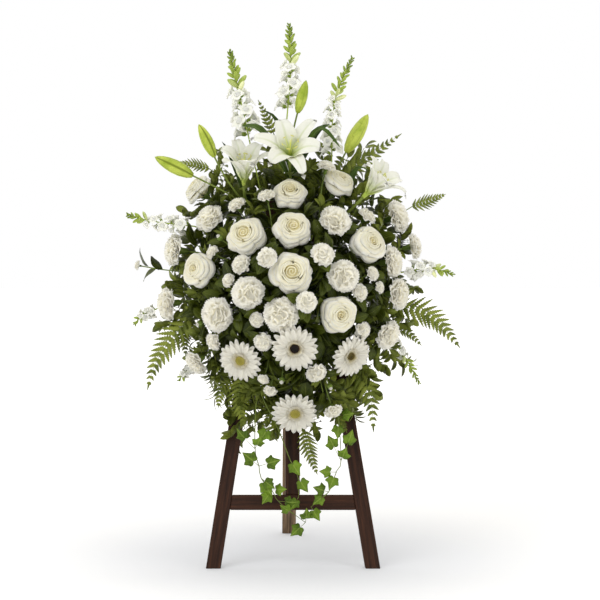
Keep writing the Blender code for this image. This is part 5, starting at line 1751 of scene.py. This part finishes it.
    def leafy_twig(self, sheaf: Sheaf, path: list[Vector], kind: LeafKind, number: int) -> list:
        """Sets leaves on a twig where they find room, and gives it as a rod if it carries any."""
        along, steps = directions(path), self.twig_steps
        size = sheaf.draw.uniform(0.75, 1.05)
        ended = self.leaf(sheaf, path[-1], along[-1], number, kind, self.end_spread, size)
        last = float(steps) if ended else 0.0
        for k in range(kind.count):
            at = steps * (1 - 0.8 * k / kind.count)
            i = int(at)
            base, order = path[i].lerp(path[min(steps, i + 1)], at - i), number + k * 1.31
            if self.leaf(sheaf, base, along[i], order, kind, self.side_spread, size * 0.92):
                last = max(last, at)
        return [(path[: ceil(last) + 1], *self.twig)] if last else []

    def leafy_stem(self, sheaf: Sheaf, path: list[Vector], start: float, number: int) -> None:
        """Sets leaves along a flower stem, from a share of its length up to the bloom."""
        last = STEM_LEAF.count - 1
        fine_path = smooth_path(path, self.stem_steps)
        along = directions(fine_path)
        for k in range(last + 1):
            at = round(self.stem_steps * mix(start, self.stem_end, k / last))
            foot, way, order = fine_path[at], along[at], 1.7 * k + number
            self.leaf(sheaf, foot, way, order, STEM_LEAF, self.side_spread, 0.9)

    def build(self) -> None:
        """Fills the gaps and hands in three pieces of leaves and one of twigs."""
        dark, fine, twigs, back = (Sheaf(seed) for seed in range(11, 15))
        rods = []
        for number, (spot, small) in enumerate(self.targets()):
            sheaf, kind = (fine, SMALL_LEAF) if small else (dark, DARK_LEAF)
            rods += self.leafy_twig(sheaf, self.twig_path(spot, number), kind, number)
        for number, (path, start) in enumerate(self.stems):
            self.leafy_stem(dark, path, start, number)
        veil = tree_of_nodes(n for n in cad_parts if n.startswith(("greens", "easel", "foam")))
        for number, spot in enumerate(self.open_spots(veil)):
            path = self.cover(back, spot, number)
            if path:
                rods.append((path, *self.twig))
        twigs.rods(rods, 6)
        LOG.info("filler: %d leaves, %d twigs", len(self.placed), len(rods))
        back.piece("back_leaves", "broad", "broad_leaf", [], 0.0005)
        dark.piece("filler_leaves", "broad", "broad_leaf", [], 0.0005)
        fine.piece("small_leaves", "small", "broad_leaf", [], 0.0004)
        twigs.piece("filler_twigs", "stem", "broad_leaf", [])


@dataclass(frozen=True)
class Easel:
    """The wooden easel, its hinge and the foam holder: solids that stay, each in its finish."""

    dark: tuple = colour(34, 20, 14)
    stain: tuple = colour(72, 46, 33)
    streak: tuple = colour(150, 94, 64)
    # painted sheen: a lighter, greyer colour for the rear leg, where more light falls on it
    rear_leg_painted_sheen: tuple = colour(156, 130, 102)
    fittings: tuple = (
        ("hinge_leaf_fixed", "steel"), ("hinge_leaf_moving", "steel"), ("hinge_pin", "steel"),
        ("foam_block", "foam"), ("foam_tray", "tray"),
        ("strap_lower", "strap"), ("strap_upper", "strap"),
    )

    def bars(self) -> dict[str, Vector]:
        """Direction of the grain in each wooden bar."""
        up, across = Plan.frame_point(0, 0, 1), Vector((1, 0, 0))
        return {
            "easel_leg_left": (up + across * Plan.LEG_SPLAY).normalized(),
            "easel_leg_right": (up - across * Plan.LEG_SPLAY).normalized(),
            "easel_crossbar_lower": across,
            "easel_crossbar_upper": across,
            "easel_center_post": up,
            "easel_leg_rear": Vector((0, -sin(Plan.REAR_ANGLE), cos(Plan.REAR_ANGLE))),
        }

    def dress(self) -> None:
        """Puts wood, steel, foam and plastic on the CAD nodes."""
        for name, grain in self.bars().items():
            turn = tuple(grain.rotation_difference(UP).to_euler("XYZ"))
            # the rear leg gets the painted sheen colour in place of the stain
            stain = self.rear_leg_painted_sheen if name == "easel_leg_rear" else self.stain
            values = {"Dark": self.dark, "Stain": stain, "Streak": self.streak, "Streaks": 0.9}
            shader = {"Coat Weight": 0.02, "Coat Roughness": 0.4, "Specular IOR Level": 0.18}
            finish = Finish(f"{name}_wood", "wood", values, 0.0006, shader, turn)
            self.paint(name, finish.make())
        for name, look in self.fittings:
            self.paint(name, LOOK[look])

    def paint(self, name: str, material: bpy.types.Material) -> None:
        """Gives a CAD node its finish."""
        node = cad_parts[name]
        node.data.materials.clear()
        node.data.materials.append(material)
        LOG.info("%s: %s", name, material.name)


@dataclass(frozen=True)
class Studio:
    """Pale floor with a painted shadow pool and a painted glow, white surroundings, soft lights,
    and the camera.
    """

    lens: float = 96.0
    sensor: float = 36.0
    view_across: float = 0.0175
    view_up: float = 0.670
    view_width: float = 1.5
    # The floor is painted: a grey shadow pool round the middle out to this reach, and an emission
    # glow that is dim near the easel and white further out.
    shadow_pool: float = 1.0
    floor_half: float = 30.0
    floor_painted_shadow: tuple = colour(219, 221, 226)
    floor_far: tuple = colour(254, 254, 254)
    glow_near: tuple = colour(148, 148, 148)
    glow: float = 0.5
    warm_white: tuple = (1.0, 0.985, 0.95, 1.0)
    world_strength: float = 0.76
    lamp_size: float = 2.0
    lamps: tuple = (
        ("key", (-1.8, -2.4, 2.9), (0, 0, 0.7), 33),
        ("fill", (2.6, -2.4, 1.6), (0, 0, 0.7), 14),
        ("top", (0.0, 0.2, 3.2), (0, 0, 0.6), 14),
    )

    def floor(self) -> None:
        """A wide level floor with a painted shadow pool, pale grey under the easel, and a painted
        glow that makes it as white as the world further out.
        """
        bm = bmesh.new()
        bmesh.ops.create_grid(bm, x_segments=8, y_segments=8, size=self.floor_half)
        mesh = bpy.data.meshes.new("floor_paper")
        bm.to_mesh(mesh)
        bm.free()
        material, wires, shader = new_material("floor_paper")
        here = wires.here()
        away = wires.add("ShaderNodeVectorMath", {"operation": "LENGTH"}, in0=here).outputs["Value"]
        # painted shadow: the floor colour turns pale grey near the middle, under the easel
        near = wires.step(wires.fit(wires.noise(here, 30.0), 0.02, away), 0.1, self.shadow_pool)
        tone = wires.blend(near, self.floor_painted_shadow, self.floor_far)
        # painted glow: the floor emits light, dim near the middle and white further out
        far = wires.step(away, self.shadow_pool, 3 * self.shadow_pool)
        glow = wires.blend(far, self.glow_near, WHITE)
        wires.fill(shader, Base_Color=tone, Roughness=0.9, Specular_IOR_Level=0.1)
        wires.fill(shader, Emission_Color=glow, Emission_Strength=self.glow)
        mesh.materials.append(material)
        floor = link_object("floor_paper", mesh)
        floor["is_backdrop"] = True

    def world(self) -> None:
        """An even warm light all round, which the camera sees as plain white."""
        world = bpy.data.worlds.new("studio")
        world.use_nodes = True
        wires = Wiring(world.node_tree)
        lit = world.node_tree.nodes["Background"]
        wires.fill(lit, Color=self.warm_white, Strength=self.world_strength)
        plain = wires.add("ShaderNodeBackground", Color=WHITE, Strength=1.0).outputs[0]
        straight = wires.add("ShaderNodeLightPath").outputs["Is Camera Ray"]
        mixed = wires.add("ShaderNodeMixShader", in0=straight, in1=lit.outputs[0], in2=plain)
        wires.fill(world.node_tree.nodes["World Output"], Surface=mixed.outputs[0])
        bpy.context.scene.world = world

    def light(self, name: str, place: tuple, aim: tuple, power: float) -> None:
        """One square soft light that looks at a point."""
        data = bpy.data.lights.new(name, "AREA")
        data.size, data.energy = self.lamp_size, power
        lamp = link_object(name, data)
        lamp.location = place
        way = Vector(aim) - Vector(place)
        lamp.rotation_euler = way.to_track_quat("-Z", "Y").to_euler()

    def build(self) -> None:
        """Sets floor, world, lights and camera."""
        self.floor()
        self.world()
        for lamp in self.lamps:
            self.light(*lamp)
        scene = bpy.context.scene
        scene.view_settings.view_transform = "Standard"
        data = bpy.data.cameras.new("front_view")
        data.lens, data.sensor_width = self.lens, self.sensor
        data.shift_x = (self.view_across - Plan.EYE.x) / self.view_width
        data.shift_y = (self.view_up - Plan.EYE.z) / self.view_width
        camera = link_object("front_view", data)
        camera.location = Plan.EYE + Plan.ORIGIN
        camera.rotation_euler = (pi / 2, 0, 0)
        scene.camera = camera


# fmt: off
# Entries name a face of the foam and two distances on it in millimetres, see Plan.foam_entry
ROSES = {
    "rose_top": Bloom((-8, 938), 45, ("top", -6, 48), (0.0, -0.8, 0.6)),
    "rose_upper_right": Bloom((114, 962), 43, ("top", 56, 48), (0.4, -0.55, 0.73)),
    "rose_upper_left": Bloom((-236, 946), 42, ("top", -80, 50), (-0.75, -0.3, 0.6)),
    "rose_left_center": Bloom((-119, 831), 52, ("front", -66, 28)),
    "rose_center": Bloom((0, 848), 51, ("front", 0, 28)),
    "rose_lower_center": Bloom((-3, 738), 54, ("front", 0, 9)),
    "rose_right": Bloom((189, 810), 47, ("front", 88, 28)),
    "rose_left": Bloom((-236, 745), 44, ("front", -112, 9)),
    "rose_lower_right": Bloom((114, 634), 46, ("front", 66, -9)),
}

GERBERAS = {
    "gerbera_middle": Bloom((4, 550), 59, ("front", 0, -28)),
    "gerbera_left": Bloom((-130, 520), 55, ("front", -66, -28)),
    "gerbera_right": Bloom((142, 531), 55, ("front", 66, -28), (0.45, -0.75, -0.3)),
    "gerbera_bottom": Bloom((5, 389), 58, ("bottom", 0, 48), (0.0, -0.85, -0.45)),
}

# cluster: entry, how far in front of the foam its stem forks, and its blooms
CARNATIONS = {
    "carnations_upper_left": (("front", -88, 28), 0.05, [
        Bloom((-210, 875), 38), Bloom((-298, 795), 42, facing=(-0.95, -0.25, 0.1)),
    ]),
    "carnations_inner_right": (("front", 44, 28), 0.04, [
        Bloom((106, 869), 41, reach=0.25), Bloom((126, 730), 40),
    ]),
    "carnations_right": (("right", 28, 50), 0.03, [
        Bloom((263, 879), 43, facing=(0.85, -0.4, 0.3)),
        Bloom((303, 805), 33, facing=(0.95, -0.1, 0.2)),
        Bloom((250, 766), 40, facing=(0.9, -0.4, 0.1)),
    ]),
    "carnations_lower_right": (("front", 112, -9), 0.03, [
        Bloom((265, 685), 41, facing=(0.85, -0.5, 0.0)),
        Bloom((239, 582), 38, facing=(0.7, -0.6, -0.3)),
    ]),
    "carnations_left": (("front", -88, -9), 0.05, [
        Bloom((-113, 688), 41), Bloom((-191, 632), 43),
        Bloom((-315, 660), 42, facing=(-0.9, -0.4, -0.1)),
        Bloom((-243, 511), 33, facing=(-0.7, -0.4, -0.6)), Bloom((-29, 632), 44),
    ]),
}

SPRAYS = {
    "spray_upper_left": (("front", -44, 28), 0.05, [
        Bloom((-141, 909), 25), Bloom((-67, 932), 22, forward=25), Bloom((-182, 825), 11),
        Bloom((-203, 790), 18),
    ]),
    "spray_left": (("front", -44, 9), 0.05, [
        Bloom((-131, 759), 25), Bloom((-162, 719), 18),
        Bloom((-65, 776), 25, facing=(0.3, -0.95, -0.1), forward=46),
        Bloom((-389, 757), 13, facing=(-0.9, -0.3, 0.2)),
    ]),
    "spray_upper_right": (("front", 66, 28), 0.05, [
        Bloom((76, 785), 30, forward=20), Bloom((186, 881), 25), Bloom((84, 1005), 24, forward=60),
    ]),
    "spray_right": (("front", 88, -9), 0.05, [
        Bloom((34, 665), 26, forward=22), Bloom((168, 689), 23), Bloom((200, 736), 19),
        Bloom((217, 702), 16), Bloom((175, 594), 23),
    ]),
    "spray_lower_left": (("front", -44, -28), 0.05, [
        Bloom((-91, 620), 19), Bloom((-75, 565), 24), Bloom((-199, 566), 24),
        Bloom((-232, 610), 11), Bloom((-74, 472), 15), Bloom((-57, 442), 17),
        Bloom((-28, 470), 11),
    ]),
    "spray_lower_right": (("front", 44, -28), 0.05, [
        Bloom((58, 488), 27), Bloom((101, 392), 23, forward=30), Bloom((92, 454), 10),
    ]),
}

SNAPDRAGONS = {
    "snapdragon_top": (("top", -28, 68), [
        Spike(((-13, 1150), (-5, 1252), (-9, 1360)), (0.10, 0.15), 27),
    ]),
    "snapdragon_top_left": (("top", -60, 70), [
        Spike(((-112, 1083), (-135, 1190), (-159, 1294)), (0.06, 0.09), 28),
    ]),
    "snapdragon_top_right": (("top", 42, 70), [
        Spike(((97, 1035), (104, 1165), (149, 1277)), (0.11, 0.11), 23),
    ]),
    "snapdragon_left": (("left", 28, 50), [
        Spike(((-262, 856), (-358, 868), (-416, 884)), (0.06, 0.02), 21),
    ]),
    "snapdragon_right": (("right", 0, 50), [
        Spike(((288, 742), (345, 750), (400, 734)), (0.06, 0.03), 20),
    ]),
    "snapdragons_lower_left": (("left", -28, 70), [
        Spike(((-345, 646), (-378, 630), (-397, 609)), (0.13, 0.11), 15),
        Spike(((-250, 505), (-272, 487), (-286, 468)), (0.10, 0.09), 13),
    ]),
    "snapdragon_lower_right": (("right", -28, 70), [
        Spike(((228, 590), (275, 535), (316, 461)), (0.09, 0.06), 17),
    ]),
}

# lily: entry, seen place of its throat, depth, look, openness, petal length
LILIES = {
    "lily_center": (("top", 14, 48), (-8, 1030), -0.02, (0.0, -0.86, 0.5), 1.0, 0.092),
    "lily_left": (("top", -50, 48), (-123, 968), 0.03, (0.02, -0.5, 0.87), 0.75, 0.104),
    "lily_right": (("top", 84, 50), (183, 935), 0.0, (0.62, -0.38, 0.68), 0.75, 0.098),
}

# buds: where their twig leaves the stem (part of its length), seen base and tip, depth
LILY_BUDS = {
    "lily_center": [(0.75, (10, 1133), (33, 1220), 0.02)],
    "lily_left": [
        (0.55, (-194, 1023), (-236, 1110), 0.01), (0.55, (-245, 978), (-346, 1028), 0.03),
    ],
    "lily_right": [(0.30, (129, 1034), (188, 1135), 0.11)],
}

# leaves: part of the stem, seen middle and tip, depths of both, half width
LILY_LEAVES = {
    "lily_center": [
        (0.80, (-85, 1098), (-130, 1105), -0.01, 13), (0.80, (60, 1090), (93, 1110), 0.03, 12),
        (0.85, (-45, 1125), (-80, 1146), 0.06, 5), (0.85, (70, 1100), (119, 1050), 0.01, 6),
    ],
    "lily_left": [(0.6, (-160, 1040), (-178, 1066), 0.09, 7)],
    "lily_right": [(0.5, (160, 1000), (190, 992), 0.10, 7)],
}

# fern: entry, fork, fronds as seen places from base to tip, depths, half width, pairs
FERNS = {
    "fern_left": (("left", 0, 50), 0.03, [
        ([(-262, 622), (-310, 565), (-345, 508), (-363, 450)], (0.06, 0.03), 54, 8),
        ([(-252, 640), (-272, 590), (-268, 532)], (0.08, 0.07), 38, 6),
        ([(-212, 1000), (-250, 1010), (-290, 1012)], (0.17, 0.14), 28, 5),
    ]),
    "fern_right": (("right", -10, 70), 0.03, [
        ([(265, 655), (325, 640), (370, 608), (416, 553)], (0.06, 0.02), 56, 8),
        ([(240, 610), (285, 590), (320, 558)], (0.09, 0.08), 26, 5),
        ([(300, 905), (340, 918), (380, 934)], (0.16, 0.15), 32, 5),
    ]),
    "fern_low": (("bottom", 60, 66), 0.03, [
        ([(150, 525), (178, 470), (196, 410), (201, 345)], (0.02, -0.01), 48, 7),
        ([(30, 340), (38, 300), (60, 236)], (0.02, -0.02), 32, 6),
        ([(95, 400), (118, 370), (134, 340)], (0.03, 0.0), 22, 4),
    ]),
    "fern_low_left": (("bottom", -70, 48), 0.03, [
        ([(-145, 500), (-178, 450), (-187, 402)], (0.03, 0.01), 40, 6),
        ([(-130, 480), (-135, 425), (-122, 352)], (0.0, -0.02), 42, 7),
        ([(-45, 420), (-55, 385), (-78, 350)], (0.02, 0.0), 22, 4),
    ]),
    "fern_upper": (("top", 20, 68), 0.03, [
        ([(125, 985), (195, 1032), (268, 1084)], (0.14, 0.12), 40, 7),
        ([(-50, 1090), (-68, 1130), (-86, 1168)], (0.14, 0.14), 20, 4),
    ]),
}

# vine: entry, strands as seen places, leaves as (across, up, size)
IVY = {
    "ivy_left": (
        ("bottom", -30, 28),
        [
            [(-93, 398), (-95, 298), (-85, 255), (-80, 225), (-53, 195), (-38, 168), (5, 133),
             (31, 114)],
            [(-30, 330), (-8, 272), (12, 228), (14, 178)],
        ],
        [
            (-70, 338, 20), (-88, 311, 18), (-124, 328, 19), (-103, 270, 22), (-58, 263, 20),
            (-90, 220, 22), (-65, 213, 18), (-38, 196, 17), (-63, 180, 18), (-13, 165, 17),
            (-15, 145, 16), (33, 128, 18), (14, 98, 19), (15, 228, 19), (14, 180, 16),
            (-10, 270, 20),
        ],
    ),
    "ivy_right": (
        ("bottom", 32, 28), [[(113, 380), (120, 268), (108, 240), (89, 190), (45, 153)]],
        [
            (100, 308, 19), (140, 318, 20), (125, 280, 19), (113, 348, 18), (130, 383, 18),
            (100, 220, 19), (88, 240, 17), (73, 195, 18), (68, 173, 17), (48, 153, 17),
        ],
    ),
}

# greens: entry, then twigs as the seen place of their end
GREENS = {
    "greens_left": (("front", -88, 9), [
        (-255, 815), (-225, 705), (-160, 800), (-165, 690), (-160, 880), (-70, 700), (-70, 880),
        (-180, 760), (-75, 650),
    ]),
    "greens_right": (("front", 88, 9), [
        (235, 840), (215, 640), (150, 760), (60, 720), (60, 910), (160, 900), (60, 610),
        (150, 850), (60, 850),
    ]),
    "greens_low": (("front", 22, -28), [(75, 440), (30, 470), (-60, 520), (-110, 450), (75, 560)]),
}

DISCS = (Disc.BLACK, Disc.GREEN, Disc.OLIVE, Disc.GREEN)
CLUSTERS = (*CARNATIONS.values(), *SPRAYS.values())
# fmt: on


def flower_stems() -> list[tuple[list[Vector], float]]:
    """Curves of the flower stems that carry extra leaves, and where along them leaves start."""
    stems = []
    for bloom in (*ROSES.values(), *GERBERAS.values()):
        stance = bloom.stance()
        neck = stance.at(0, 0, -0.95 * bloom.radius * MM)
        stems.append((stem_path(bloom.entry, neck, stance.look)[1:], 0.35))
    for entry, fork, blooms in CLUSTERS:
        mouth, out = Plan.foam_entry(*entry)
        for bloom in blooms:
            stance = bloom.stance()
            neck = stance.at(0, 0, -0.9 * bloom.radius * MM)
            stems.append((bend(mouth + out * fork, out, neck, stance.look, 10), 0.25))
    for entry, spot, depth, facing, *_ in LILIES.values():
        end = Plan.seen(*spot, depth)
        stems.append((stem_path(entry, end, Vector(facing).normalized())[1:], 0.2))
    return stems


def shields(blooms: Iterable[Bloom], share: float = 0.9, sides: int = 12) -> BVHTree:
    """Discs in the places of the blooms, which no filler leaf may hide."""
    bm = bmesh.new()
    for bloom in blooms:
        stance = bloom.stance()
        turn = (Plan.EYE - stance.place).to_track_quat("Z", "Y").to_matrix().to_4x4()
        spot = Matrix.Translation(stance.place) @ turn
        size = bloom.radius * MM * share
        bmesh.ops.create_circle(bm, cap_ends=True, segments=sides, radius=size, matrix=spot)
    tree = BVHTree.FromBMesh(bm)
    bm.free()
    return tree


def main() -> None:
    """Builds every part of the spray in order."""
    Studio().build()
    Easel().dress()
    for name, bloom in ROSES.items():
        Rose(name, bloom, CUP_WHORLS if name in CUPPED_ROSES else ROSE_WHORLS).build()
    for (name, bloom), disc in zip(GERBERAS.items(), DISCS):
        Gerbera(name, bloom, disc).build()
    for table, trunk, twig in ((CARNATIONS, 0.0030, 0.0024), (SPRAYS, 0.0026, 0.0016)):
        for name, row in table.items():
            Carnations(name, *row, trunk, twig).build()
    for name, row in SNAPDRAGONS.items():
        Snapdragon(name, *row).build()
    for name, row in LILIES.items():
        Lily(name, *row, LILY_BUDS[name], LILY_LEAVES[name]).build()
    for kind, table in ((Fern, FERNS), (Ivy, IVY), (Greens, GREENS)):
        for name, row in table.items():
            kind(name, *row).build()
    blooms = [*ROSES.values(), *GERBERAS.values()]
    blooms += [bloom for *_, heads in CLUSTERS for bloom in heads]
    blooms += [Bloom(spot, 45) for _, spot, *_ in LILIES.values()]
    Filler(flower_stems(), tree_of_nodes(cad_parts), shields(blooms)).build()
    boxes = {"cad": CAD_BOX, "visual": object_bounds()}
    {key: [list(corner) for corner in box] for key, box in boxes.items()}


if __name__ == "__main__":
    logging.basicConfig(level=logging.INFO, stream=sys.stdout, format="%(message)s")
    main()
